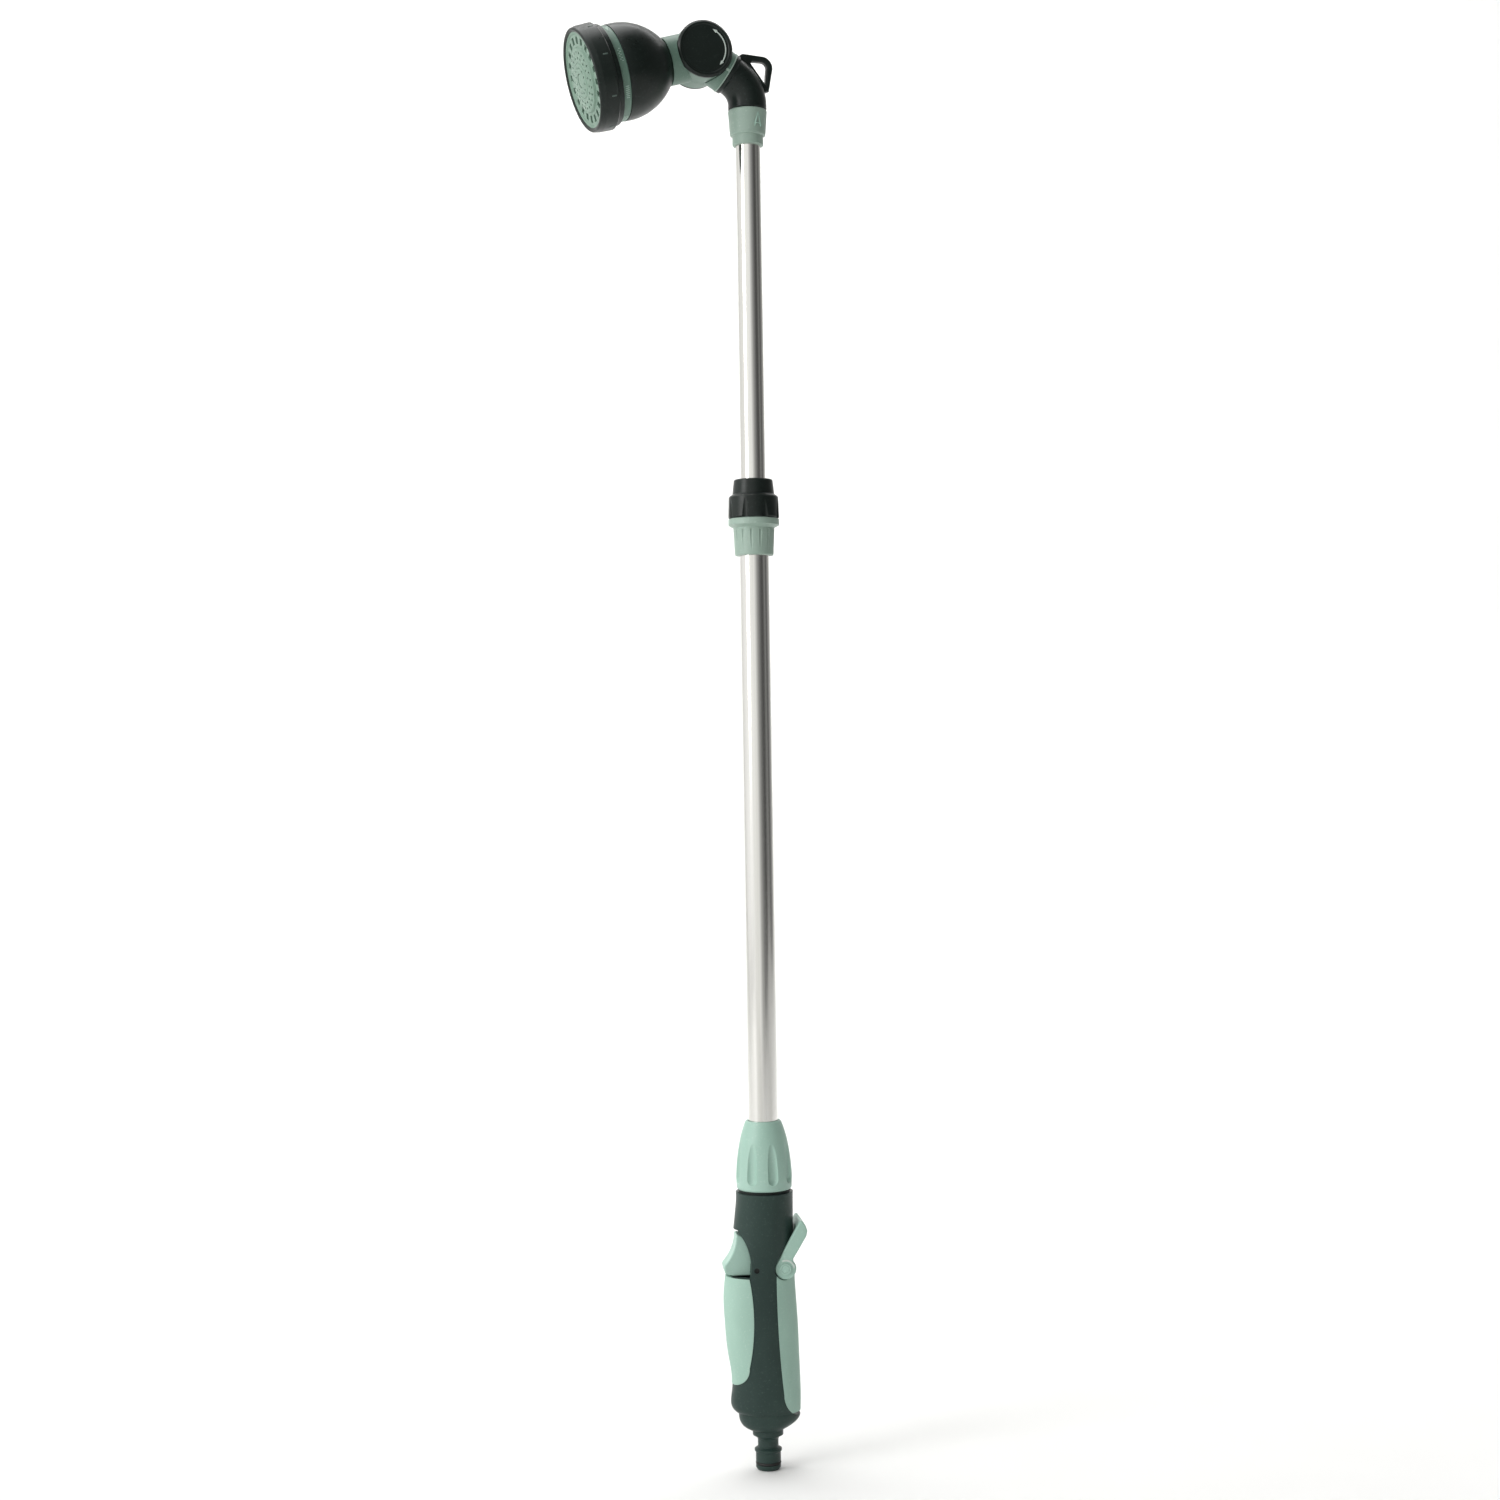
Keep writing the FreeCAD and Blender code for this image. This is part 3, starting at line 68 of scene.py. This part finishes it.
class Tree:
    """A material's node tree, with short ways to add and join nodes."""

    def __init__(self, name):
        self.material = bpy.data.materials.new(name)
        self.material.use_nodes = True
        self.nodes = self.material.node_tree.nodes
        self.links = self.material.node_tree.links
        self.shader = self.nodes["Principled BSDF"]

    def add(self, kind, inputs=(), **settings):
        node = self.nodes.new(kind)
        for name, setting in settings.items():
            setattr(node, name, setting)
        for name, given in dict(inputs).items():
            self.feed(node.inputs[name], given)
        return node

    def feed(self, socket, given):
        """Set a socket to a constant, or link it to another socket."""
        if isinstance(given, bpy.types.NodeSocket):
            self.links.new(given, socket)
        else:
            socket.default_value = given

    def place(self, scale=(1, 1, 1)):
        """The object's own coordinates, in metres, stretched by a scale."""
        coordinates = self.add("ShaderNodeTexCoord").outputs["Object"]
        return self.add("ShaderNodeMapping", {
            "Vector": coordinates, "Scale": scale,
        }).outputs["Vector"]

    def noise(self, place, scale, detail=3.0, roughness=0.55):
        return self.add("ShaderNodeTexNoise", {
            "Vector": place, "Scale": scale, "Detail": detail, "Roughness": roughness,
        }).outputs["Fac"]

    def spread(self, source, low, high, to_low, to_high):
        """Map a range of a value onto another range, clamped."""
        return self.add("ShaderNodeMapRange", {
            "Value": source, "From Min": low, "From Max": high, "To Min": to_low, "To Max": to_high,
        }).outputs["Result"]

    def math(self, operation, first, second):
        return self.add("ShaderNodeMath", {0: first, 1: second}, operation=operation).outputs[0]

    def mix(self, factor, first, second):
        node = self.add("ShaderNodeMix", data_type="RGBA")
        for socket, given in zip((node.inputs[0], node.inputs[6], node.inputs[7]),
                                 (factor, first, second)):
            self.feed(socket, given)
        return node.outputs[2]

    def edges(self, radius):
        """The rounded normal near edges, and how far it leaves the true one there."""
        soft = self.add("ShaderNodeBevel", {"Radius": radius}, samples=4).outputs["Normal"]
        true = self.add("ShaderNodeNewGeometry").outputs["Normal"]
        agree = self.add("ShaderNodeVectorMath", {0: soft, 1: true}, operation="DOT_PRODUCT")
        return soft, self.spread(agree.outputs["Value"], 0.995, 0.80, 0.0, 1.0)

    def bump(self, height, distance, strength, normal=None):
        inputs = {"Height": height, "Distance": distance, "Strength": strength}
        if normal is not None:
            inputs["Normal"] = normal
        return self.add("ShaderNodeBump", inputs).outputs["Normal"]

    def finish(self, color, roughness, normal, **constants):
        for name, given in (("Base Color", color), ("Roughness", roughness), ("Normal", normal)):
            self.feed(self.shader.inputs[name], given)
        for name, given in constants.items():
            self.shader.inputs[name.replace("_", " ")].default_value = given
        return self.material


def moulded(name, base, shade, worn, roughness, grain=2600.0, grain_depth=0.00003, edge=0.0004,
            **constants):
    """Moulded plastic: faint flow mottling, spark grain, worn edges, uneven gloss."""
    tree = Tree(name)
    place = tree.place()
    flow = tree.noise(tree.place((1, 1, 0.35)), 34.0, 4.0)
    speck = tree.noise(place, 700.0, 2.0)
    rubbed = tree.noise(place, 130.0, 5.0, 0.7)
    color = tree.mix(tree.spread(flow, 0.35, 0.68, 0.0, 1.0), shade, base)
    color = tree.mix(tree.spread(speck, 0.58, 0.78, 0.0, 0.22), color, worn)
    soft, near_edge = tree.edges(edge)
    wear = tree.math("MULTIPLY", near_edge, tree.spread(rubbed, 0.42, 0.66, 0.08, 0.6))
    color = tree.mix(wear, color, worn)
    gloss = tree.math("ADD", tree.spread(rubbed, 0.3, 0.7, roughness - 0.05, roughness + 0.07),
                      tree.spread(speck, 0.3, 0.7, -0.02, 0.03))
    pores = tree.math("ADD", tree.noise(place, grain, 2.0, 0.6),
                      tree.math("MULTIPLY", tree.noise(place, grain / 9, 2.0), 0.6))
    normal = tree.bump(pores, grain_depth, 0.55, soft)
    return tree.finish(color, gloss, normal, **constants)


def drawn_aluminium(name):
    """Extruded, satin anodised tube: fine draw lines along it, light scuffs across."""
    tree = Tree(name)
    lines = tree.noise(tree.place((1, 1, 0.004)), 1500.0, 3.0, 0.7)
    bands = tree.noise(tree.place((1, 1, 0.01)), 190.0, 2.0)
    scuffs = tree.noise(tree.place((1, 1, 1.8)), 260.0, 6.0, 0.75)
    color = tree.mix(tree.spread(bands, 0.3, 0.7, 0.0, 1.0),
                     linear(212, 211, 206), linear(232, 231, 228))
    color = tree.mix(tree.spread(scuffs, 0.62, 0.76, 0.0, 0.35), color, linear(176, 175, 170))
    gloss = tree.math("ADD", tree.spread(lines, 0.3, 0.7, 0.10, 0.17),
                      tree.spread(scuffs, 0.58, 0.76, 0.0, 0.12))
    soft, _ = tree.edges(0.0003)
    normal = tree.bump(lines, 0.000012, 0.35, soft)
    return tree.finish(color, gloss, normal, Metallic=1.0)


def plain_metal(name, base, shade, roughness):
    """Small machined parts: turning marks and patchy dulling."""
    tree = Tree(name)
    marks = tree.noise(tree.place((1, 1, 12)), 420.0, 3.0, 0.7)
    patch = tree.noise(tree.place(), 160.0, 4.0)
    color = tree.mix(tree.spread(patch, 0.35, 0.7, 0.0, 1.0), base, shade)
    gloss = tree.spread(patch, 0.3, 0.7, roughness - 0.06, roughness + 0.1)
    soft, _ = tree.edges(0.0002)
    return tree.finish(color, gloss, tree.bump(marks, 0.00002, 0.4, soft), Metallic=1.0)


SAGE_WORN = linear(200, 218, 209)
DARK_GLOSS = {"Specular_IOR_Level": 0.28}
MATERIALS = {
    "handle_green": moulded("handle_green", linear(40, 59, 54), linear(33, 51, 47),
                            linear(84, 104, 99), 0.42, **DARK_GLOSS),
    "head_green": moulded("head_green", linear(24, 33, 30), linear(18, 26, 23),
                          linear(66, 80, 75), 0.32, grain_depth=0.000018, **DARK_GLOSS),
    "inner_green": moulded("inner_green", linear(24, 33, 30), linear(18, 26, 23),
                           linear(54, 66, 62), 0.5, **DARK_GLOSS),
    "sage": moulded("sage", linear(158, 190, 177), linear(148, 181, 167), SAGE_WORN, 0.40),
    "sage_deep": moulded("sage_deep", linear(97, 124, 111), linear(88, 115, 102),
                         linear(150, 176, 164), 0.42),
    "sage_grey": moulded("sage_grey", linear(150, 171, 159), linear(139, 160, 148), SAGE_WORN,
                         0.40),
    "sage_mint": moulded("sage_mint", linear(117, 144, 128), linear(107, 134, 118),
                         linear(162, 187, 174), 0.38),
    "soft_grip": moulded("soft_grip", linear(156, 188, 174), linear(146, 178, 164), SAGE_WORN, 0.56,
                         grain=1900.0, grain_depth=0.00006),
    "pale_mark": moulded("pale_mark", linear(196, 208, 201), linear(182, 195, 188),
                         linear(224, 231, 227), 0.38, edge=0.0001),
    "ring_mark": moulded("ring_mark", linear(166, 190, 178), linear(152, 177, 164), SAGE_WORN, 0.40,
                         edge=0.0001),
    # Much lighter than the dark rim it stands on: a painted highlight for the rim's raised dashes.
    "rim_dash_painted_highlight": moulded("rim_dash_painted_highlight", linear(82, 98, 91), linear(70, 86, 80),
                        linear(120, 134, 128), 0.36, edge=0.0001),
    "natural_plastic": moulded("natural_plastic", linear(214, 214, 206), linear(200, 200, 190),
                               linear(234, 234, 230), 0.45),
    "seal_rubber": moulded("seal_rubber", linear(26, 26, 25), linear(20, 20, 19),
                           linear(58, 58, 56), 0.62, grain=3200.0),
    "tube_aluminium": drawn_aluminium("tube_aluminium"),
    "screw_steel": plain_metal("screw_steel", linear(196, 196, 194), linear(160, 160, 157), 0.30),
    "dark_steel": plain_metal("dark_steel", linear(62, 64, 63), linear(44, 46, 45), 0.42),
    "spindle_brass": plain_metal("spindle_brass", linear(203, 176, 104), linear(172, 144, 82),
                                 0.32),
}

SLOT_LOOKS = {
    "dark_plastic": "head_green",
    "sage_plastic": "sage",
    "sage_grip": "soft_grip",
    "aluminium_tube": "tube_aluminium",
    "inner_plastic": "natural_plastic",
    "black_rubber": "seal_rubber",
    "plain_steel": "screw_steel",
    "spindle_brass": "spindle_brass",
}
NODE_LOOKS = {
    "handle_shell_left": "handle_green",
    "handle_shell_right": "handle_green",
    "hose_connector": "handle_green",
    "collar_sleeve": "sage_grey",
    "tube_collar": "sage_grey",
    "elbow_knuckle": "sage_deep",
    "head_neck": "sage_deep",
    "pattern_ring": "sage_deep",
    "face_plate": "sage_mint",
    "outlet_insert": "sage_mint",
    "centre_screw": "sage_mint",
    "valve_body": "inner_green",
    "port_disc": "inner_green",
    "trigger_pin": "dark_steel",
}
for subpart in frame["record"]["subparts"]:
    look = NODE_LOOKS.get(subpart["node"], SLOT_LOOKS[subpart["material_slot"]])
    slots = NODES[subpart["node"]].data.materials
    for number in range(len(slots)):
        slots[number] = MATERIALS[look]


# --- moulded marks ----------------------------------------------------------------

def add_piece(name, mesh, look, body):
    """Make an object of a bmesh, smooth it, give it its look and let it ride."""
    bmesh.ops.recalc_face_normals(mesh, faces=mesh.faces)
    data = bpy.data.meshes.new(name)
    mesh.to_mesh(data)
    mesh.free()
    for face in data.polygons:
        face.use_smooth = True
    data.set_sharp_from_angle(angle=math.radians(40))
    data.materials.append(MATERIALS[look])
    piece = bpy.data.objects.new(name, data)
    bpy.context.scene.collection.objects.link(piece)
    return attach(piece, body)


# across and up, as shares of a strip's half width and height
STRIP_SECTION = ((-1.0, -0.6), (-1.0, 0.45), (-0.92, 0.8), (-0.7, 1.0),
                 (0.7, 1.0), (0.92, 0.8), (1.0, 0.45), (1.0, -0.6))


def skin(mesh, rings):
    """Join a stack of rings of vertices into a closed surface."""
    for near, far in zip(rings, rings[1:]):
        for place in range(len(near)):
            after = (place + 1) % len(near)
            mesh.faces.new((near[place], near[after], far[after], far[place]))
    mesh.faces.new(rings[0])
    mesh.faces.new(rings[-1])


def add_strip(mesh, path, height):
    """Sweep a low rounded strip along stations of (centre, across, outward, half width)."""
    rings = []
    for centre, across, outward, half_width in path:
        rings.append([mesh.verts.new(centre + across * side * half_width + outward * up * height)
                      for side, up in STRIP_SECTION])
    skin(mesh, rings)


def arc_on_disc(centre, right, up, outward, radius, start, end, widths):
    """Stations of an arc drawn on a flat disc; widths are (share of the way, half width)."""
    stations = []
    steps = 60
    for step in range(steps + 1):
        share = step / steps
        angle = math.radians(start + (end - start) * share)
        ray = right * math.cos(angle) + up * math.sin(angle)
        stations.append((centre + ray * radius, ray, outward, width_at(share, widths)))
    return stations


def width_at(share, widths):
    """Half width at a share of the way, straight between the given places."""
    for (low, first), (high, second) in zip(widths, widths[1:]):
        if share <= high:
            return first + (second - first) * (share - low) / (high - low)
    return widths[-1][1]


def wrapped(place, radius, z_start, angle_start, z_end, angle_end, half_width):
    """Stations of a straight mark wrapped on a cylinder about a frame's z axis."""
    stations = []
    steps = 8
    for step in range(steps + 1):
        share = step / steps
        angle = math.radians(angle_start + (angle_end - angle_start) * share)
        z = z_start + (z_end - z_start) * share
        outward = Vector((math.cos(angle), math.sin(angle), 0))
        around = Vector((-math.sin(angle), math.cos(angle), 0))
        run = (around * math.radians(angle_end - angle_start) * radius
               + Vector((0, 0, z_end - z_start)))
        across = outward.cross(run.normalized())
        end_share = min(share, 1 - share) * steps
        stations.append((place @ (outward * radius + Vector((0, 0, z))), turned(place, across),
                         turned(place, outward), half_width * min(1.0, 0.45 + 0.55 * end_share)))
    return stations


def turned(place, direction):
    return place.to_3x3() @ direction


def frame_at(origin, x, y, z):
    place = Matrix((x, y, z)).transposed().to_4x4()
    place.translation = origin
    return place


UP = Vector((0, 0, 1))
pivot = Vector(JOINTS["head_tilt"]["pos_m"])
tilt_axis = Vector(JOINTS["head_tilt"]["axis"]).normalized()
head_axis = Vector(JOINTS["spray_select"]["axis"]).normalized()
HEAD = frame_at(pivot, tilt_axis.cross(head_axis), tilt_axis, head_axis)


def tilt_arrow():
    """The double-headed arc on the front pivot cap that shows how the head tilts."""
    low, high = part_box("pivot_cap_front")
    middle = (low + high) / 2
    outward = -tilt_axis
    face = pivot + outward * ((middle - pivot).dot(outward) + 0.75 * MM)
    right = UP.cross(outward)
    mesh = bmesh.new()
    line = 0.42 * MM
    widths = ((0, 0.06 * MM), (0.1, 1.1 * MM), (0.101, line), (0.899, line), (0.9, 1.1 * MM),
              (1, 0.06 * MM))
    add_strip(mesh, arc_on_disc(face, right, UP, outward, 13.4 * MM, 68, -46, widths), 0.3 * MM)
    add_piece("tilt_arrow", mesh, "pale_mark", "spray_head")


def lever_marks():
    """The raised quarter arc and the small turned cap on each of the flow lever's hubs."""
    low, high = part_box("flow_lever")
    hinge = Vector(JOINTS["flow_lever_turn"]["pos_m"])
    boss_height = 0.8 * MM
    for name, outward, face in (("left", Vector((0, -1, 0)), low.y + boss_height),
                                ("right", Vector((0, 1, 0)), high.y - boss_height)):
        centre = Vector((hinge.x, face, hinge.z))
        right = Vector((1, 0, 0))
        mesh = bmesh.new()
        widths = ((0, 0.3 * MM), (0.08, 0.62 * MM), (0.92, 0.62 * MM), (1, 0.3 * MM))
        add_strip(mesh, arc_on_disc(centre, right, UP, outward, 5.4 * MM, 118, 4, widths),
                  0.35 * MM)
        add_piece("hub_arc_" + name, mesh, "pale_mark", "thumb_lever")
        button = bmesh.new()
        add_button(button, centre, right, outward)
        add_piece("hub_button_" + name, button, "sage", "thumb_lever")


# radius and height above the hub's face, in millimetres
BUTTON_PROFILE = ((3.5, 0.15), (3.5, 0.74), (3.38, 0.88), (3.15, 0.92), (2.9, 0.86), (2.75, 0.62),
                  (2.5, 0.58), (2.38, 0.66), (2.28, 0.84), (2.05, 0.92), (1.2, 0.96), (0.25, 0.98))


def add_button(mesh, centre, right, outward):
    """A small turned cap with a raised lip and a domed middle, over the spindle's end."""
    rings = []
    spokes = 64
    for radius, height in BUTTON_PROFILE:
        ring = []
        for spoke in range(spokes):
            angle = 2 * math.pi * spoke / spokes
            ray = right * math.cos(angle) + UP * math.sin(angle)
            ring.append(mesh.verts.new(centre + ray * radius * MM + outward * height * MM))
        rings.append(ring)
    skin(mesh, rings)


def collar_mark():
    """A tall open arrow on the top collar."""
    low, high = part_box("tube_collar")
    radius = 11.9 * MM
    mesh = bmesh.new()
    foot, tip = low.z + 10.5 * MM, high.z - 2.6 * MM
    place = Matrix.Identity(4)
    for angle in (-62, 118):
        for side in (-1, 1):
            add_strip(mesh, wrapped(place, radius, foot, angle + side * 11, tip, angle, 0.45 * MM),
                      0.45 * MM)
        add_strip(mesh, wrapped(place, radius, foot + 2 * MM, angle - 8, foot + 2 * MM, angle + 8,
                                0.3 * MM), 0.4 * MM)
    add_piece("collar_mark", mesh, "sage", "mast")


def elbow_bead():
    """The fine bead where the sage knuckle meets the dark elbow, with its small tab."""
    swivel = math.atan2(tilt_axis.y, tilt_axis.x) - math.pi / 2
    back = Vector((math.cos(swivel), math.sin(swivel), 0))
    bend = math.radians(60)
    axis = back * math.sin(bend) - UP * math.cos(bend)
    place = frame_at(pivot, tilt_axis.cross(axis), tilt_axis, axis)
    mesh = bmesh.new()
    seam = 20.6 * MM
    radius = 13.3 * MM
    stations = []
    for step in range(97):
        angle = 2 * math.pi * step / 96
        outward = turned(place, Vector((math.cos(angle), math.sin(angle), 0)))
        centre = place @ Vector((radius * math.cos(angle), radius * math.sin(angle), seam))
        stations.append((centre, axis, outward, 0.38 * MM))
    add_strip(mesh, stations, 0.32 * MM)
    for angle in (-78, 102):
        add_strip(mesh, wrapped(place, radius, seam - 3.4 * MM, angle, seam, angle, 0.8 * MM),
                  0.5 * MM)
    add_piece("elbow_bead", mesh, "sage_grey", "outlet_elbow")


def pattern_marks():
    """Generic dashes and dots round the pattern ring, one group for each spray."""
    radius = 29.65 * MM
    middle = 60.75 * MM
    fine, height = 0.26 * MM, 0.22 * MM
    groups = 8
    mesh = bmesh.new()

    def mark(start, start_angle, end, end_angle, half_width=fine):
        add_strip(mesh, wrapped(HEAD, radius, middle + start, start_angle,
                                middle + end, end_angle, half_width), height)

    for group in range(groups):
        centre = group * 360 / groups + 8
        if group % 4 == 0:
            for line in (-1, 0, 1):
                mark(line * 1.1 * MM, centre - 7, line * 1.1 * MM, centre + 7)
        elif group % 4 == 1:
            for dash in range(-3, 4):
                mark(-1.2 * MM, centre + dash * 2.4, 1.2 * MM, centre + dash * 2.4)
        elif group % 4 == 2:
            for dot in range(-4, 5):
                offset = (dot % 2) * 1.1 * MM - 0.5 * MM
                mark(offset, centre + dot * 1.9 - 0.5, offset, centre + dot * 1.9 + 0.5, 0.4 * MM)
        else:
            for side in (-1, 0, 1):
                mark(-side * 0.3 * MM, centre - 6, side * 1.3 * MM, centre + 6)
    add_piece("pattern_marks", mesh, "ring_mark", "spray_head")


def rim_dashes_painted_highlight():
    """Small raised dashes on the side of the turning rim, coloured much lighter than the rim as a painted
    highlight where they catch the light.
    """
    mesh = bmesh.new()
    radius = 33.1 * MM
    for angle in range(-80, 280, 45):
        add_strip(mesh, wrapped(HEAD, radius, 69.4 * MM, angle, 72.6 * MM, angle, 0.5 * MM),
                  0.3 * MM)
    add_piece("rim_dashes_painted_highlight", mesh, "rim_dash_painted_highlight", "selector")


def cross_recess(x, y, radius, depth):
    """How deep a cross-shaped driver recess is at a place on a screw's head."""
    reach = max(abs(x), abs(y))
    offset = min(abs(x), abs(y))
    arm = 0.13 * radius
    arm_length = 0.62 * radius
    if reach > arm_length or offset > arm * 1.5:
        return 0.0
    inside = min(1.0, (arm_length - reach) / (0.2 * radius))
    wall = min(1.0, (1.5 * arm - offset) / (0.5 * arm))
    return depth * inside * wall


def screw_heads():
    """Pan heads with a cross recess on the four shell screws, over plain shanks."""
    node = NODES["shell_screws"]
    gap = 8 * MM
    heights = sorted(vertex.co.z for vertex in node.data.vertices)
    bands = [[heights[0]]]
    for height in heights[1:]:
        if height - bands[-1][-1] > gap:
            bands.append([])
        bands[-1].append(height)
    mesh = bmesh.new()
    for band in bands:
        verts = [vertex.co for vertex in node.data.vertices if band[0] <= vertex.co.z <= band[-1]]
        middle = (band[0] + band[-1]) / 2
        x = (min(v.x for v in verts) + max(v.x for v in verts)) / 2
        low, high = min(v.y for v in verts), max(v.y for v in verts)
        add_screw(mesh, x, middle, low, high)
    piece = add_piece("screw_heads", mesh, "screw_steel", "handle")
    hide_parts("shell_screws")


def add_screw(mesh, x, z, low, high):
    """One screw along y, its recessed head at the high end."""
    head_radius = 2.8 * MM
    shank_radius = 1.5 * MM
    under_head = high - 2 * MM
    crown = 0.45 * MM
    spokes = 72
    profile = [(shank_radius, low), (shank_radius, under_head), (head_radius, under_head),
               (head_radius, high - crown - 0.2 * MM)]
    rings = []
    for radius, y in profile:
        rings.append([mesh.verts.new((x + radius * math.cos(2 * math.pi * spoke / spokes), y,
                                      z + radius * math.sin(2 * math.pi * spoke / spokes)))
                      for spoke in range(spokes)])
    steps = 16
    for step in range(steps):
        radius = head_radius * (0.97 - 0.93 * step / (steps - 1))
        ring = []
        for spoke in range(spokes):
            angle = 2 * math.pi * spoke / spokes
            across, along = radius * math.cos(angle), radius * math.sin(angle)
            y = high - crown * (radius / head_radius) ** 2
            y -= cross_recess(across, along, head_radius, 1.1 * MM)
            ring.append(mesh.verts.new((x + across, y, z + along)))
        rings.append(ring)
    skin(mesh, rings)


tilt_arrow()
lever_marks()
collar_mark()
elbow_bead()
pattern_marks()
rim_dashes_painted_highlight()
screw_heads()


# --- floor, light and camera --------------------------------------------------------

def add_stage():
    """A pale floor that sweeps up into a backdrop behind the wand."""
    mesh = bmesh.new()
    front, back, curve, top = -2.0, 1.6, 1.2, 5.0
    half_width = 3.5
    below_wand = 0.0002
    steps = 16
    sweep = [(front, 0.0), (back, 0.0)]
    for step in range(1, steps + 1):
        angle = math.radians(90 * step / steps)
        sweep.append((back + curve * math.sin(angle), curve - curve * math.cos(angle)))
    sweep.append((back + curve, top))
    rows = [[mesh.verts.new((x, y, z - below_wand)) for x in (-half_width, half_width)]
            for y, z in sweep]
    for near, far in zip(rows, rows[1:]):
        mesh.faces.new((near[0], near[1], far[1], far[0]))
    data = bpy.data.meshes.new("studio_floor")
    mesh.to_mesh(data)
    mesh.free()
    for face in data.polygons:
        face.use_smooth = True
    tree = Tree("studio_paper")
    color = tree.mix(tree.spread(tree.noise(tree.place(), 3.0), 0.3, 0.7, 0.0, 1.0),
                     (0.86, 0.86, 0.85, 1), (0.89, 0.89, 0.885, 1))
    grain = tree.bump(tree.noise(tree.place(), 900.0), 0.00005, 0.2)
    data.materials.append(tree.finish(color, 0.9, grain))
    floor = bpy.data.objects.new("studio_floor", data)
    bpy.context.scene.collection.objects.link(floor)


def add_light(name, place, target, size, power):
    data = bpy.data.lights.new(name, "AREA")
    data.shape = "RECTANGLE"
    data.size, data.size_y = size
    data.energy = power
    light = bpy.data.objects.new(name, data)
    light.location = place
    light.rotation_euler = (Vector(target) - Vector(place)).to_track_quat("-Z", "Y").to_euler()
    bpy.context.scene.collection.objects.link(light)


def add_world():
    """Surroundings that light the wand more from the left, and look like plain pale paper."""
    world = bpy.data.worlds.new("studio")
    world.use_nodes = True
    bpy.context.scene.world = world
    nodes, links = world.node_tree.nodes, world.node_tree.links
    around = nodes.new("ShaderNodeTexGradient")
    around.gradient_type = "RADIAL"
    ramp = nodes.new("ShaderNodeValToRGB")
    # share of the turn about z, from -X by the front to +X and the back, and brightness
    bands = ((0.0, 1.35), (0.215, 1.35), (0.255, 0.8), (0.29, 0.45), (0.33, 0.25), (0.37, 0.12),
             (0.41, 0.12), (0.455, 0.3), (0.505, 0.13), (0.56, 0.45), (0.70, 0.7), (0.85, 1.2),
             (1.0, 1.35))
    while len(ramp.color_ramp.elements) < len(bands):
        ramp.color_ramp.elements.new(0.5)
    for element, (place, level) in zip(ramp.color_ramp.elements, bands):
        element.position = place
        element.color = (level, level, level * 0.985, 1)
    links.new(nodes.new("ShaderNodeTexCoord").outputs["Generated"], around.inputs["Vector"])
    links.new(around.outputs["Fac"], ramp.inputs["Fac"])
    links.new(ramp.outputs["Color"], nodes["Background"].inputs["Color"])
    nodes["Background"].inputs["Strength"].default_value = 0.8
    pale = nodes.new("ShaderNodeBackground")
    pale.inputs["Color"].default_value = (0.96, 0.96, 0.955, 1)
    seen = nodes.new("ShaderNodeMixShader")
    links.new(nodes.new("ShaderNodeLightPath").outputs["Is Camera Ray"], seen.inputs[0])
    links.new(nodes["Background"].outputs[0], seen.inputs[1])
    links.new(pale.outputs[0], seen.inputs[2])
    links.new(seen.outputs[0], nodes["World Output"].inputs["Surface"])


def add_camera():
    """Level camera in front of the wand, a little to the head's side of it."""
    scene = bpy.context.scene
    data = bpy.data.cameras.new("camera")
    distance = 1.5
    half_view = 0.48
    data.angle = 2 * math.atan(half_view / distance)
    camera = bpy.data.objects.new("camera", data)
    around = math.radians(-6)
    toward = Vector((math.sin(around), -math.cos(around), 0))
    right = Vector((math.cos(around), math.sin(around), 0))
    height = 0.4597
    aside = -0.0047
    camera.location = toward * distance + right * aside + UP * height
    level = (-toward).to_track_quat("-Z", "Y").to_matrix()
    roll = Matrix.Rotation(math.radians(-0.9), 3, "Z")
    camera.rotation_euler = (level @ roll).to_euler()
    scene.collection.objects.link(camera)
    scene.camera = camera


add_stage()
add_world()
add_light("key", (-2.3, -1.2, 1.4), (0, 0, 0.45), (1.0, 1.8), 28)
add_light("top", (-0.3, 0.2, 2.4), (0, 0, 0.5), (1.2, 1.0), 9)
add_light("backdrop_wash", (0.0, 0.9, 2.3), (0, 2.7, 0.6), (3.0, 0.6), 45)
add_camera()
bpy.context.scene.view_settings.view_transform = "Standard"
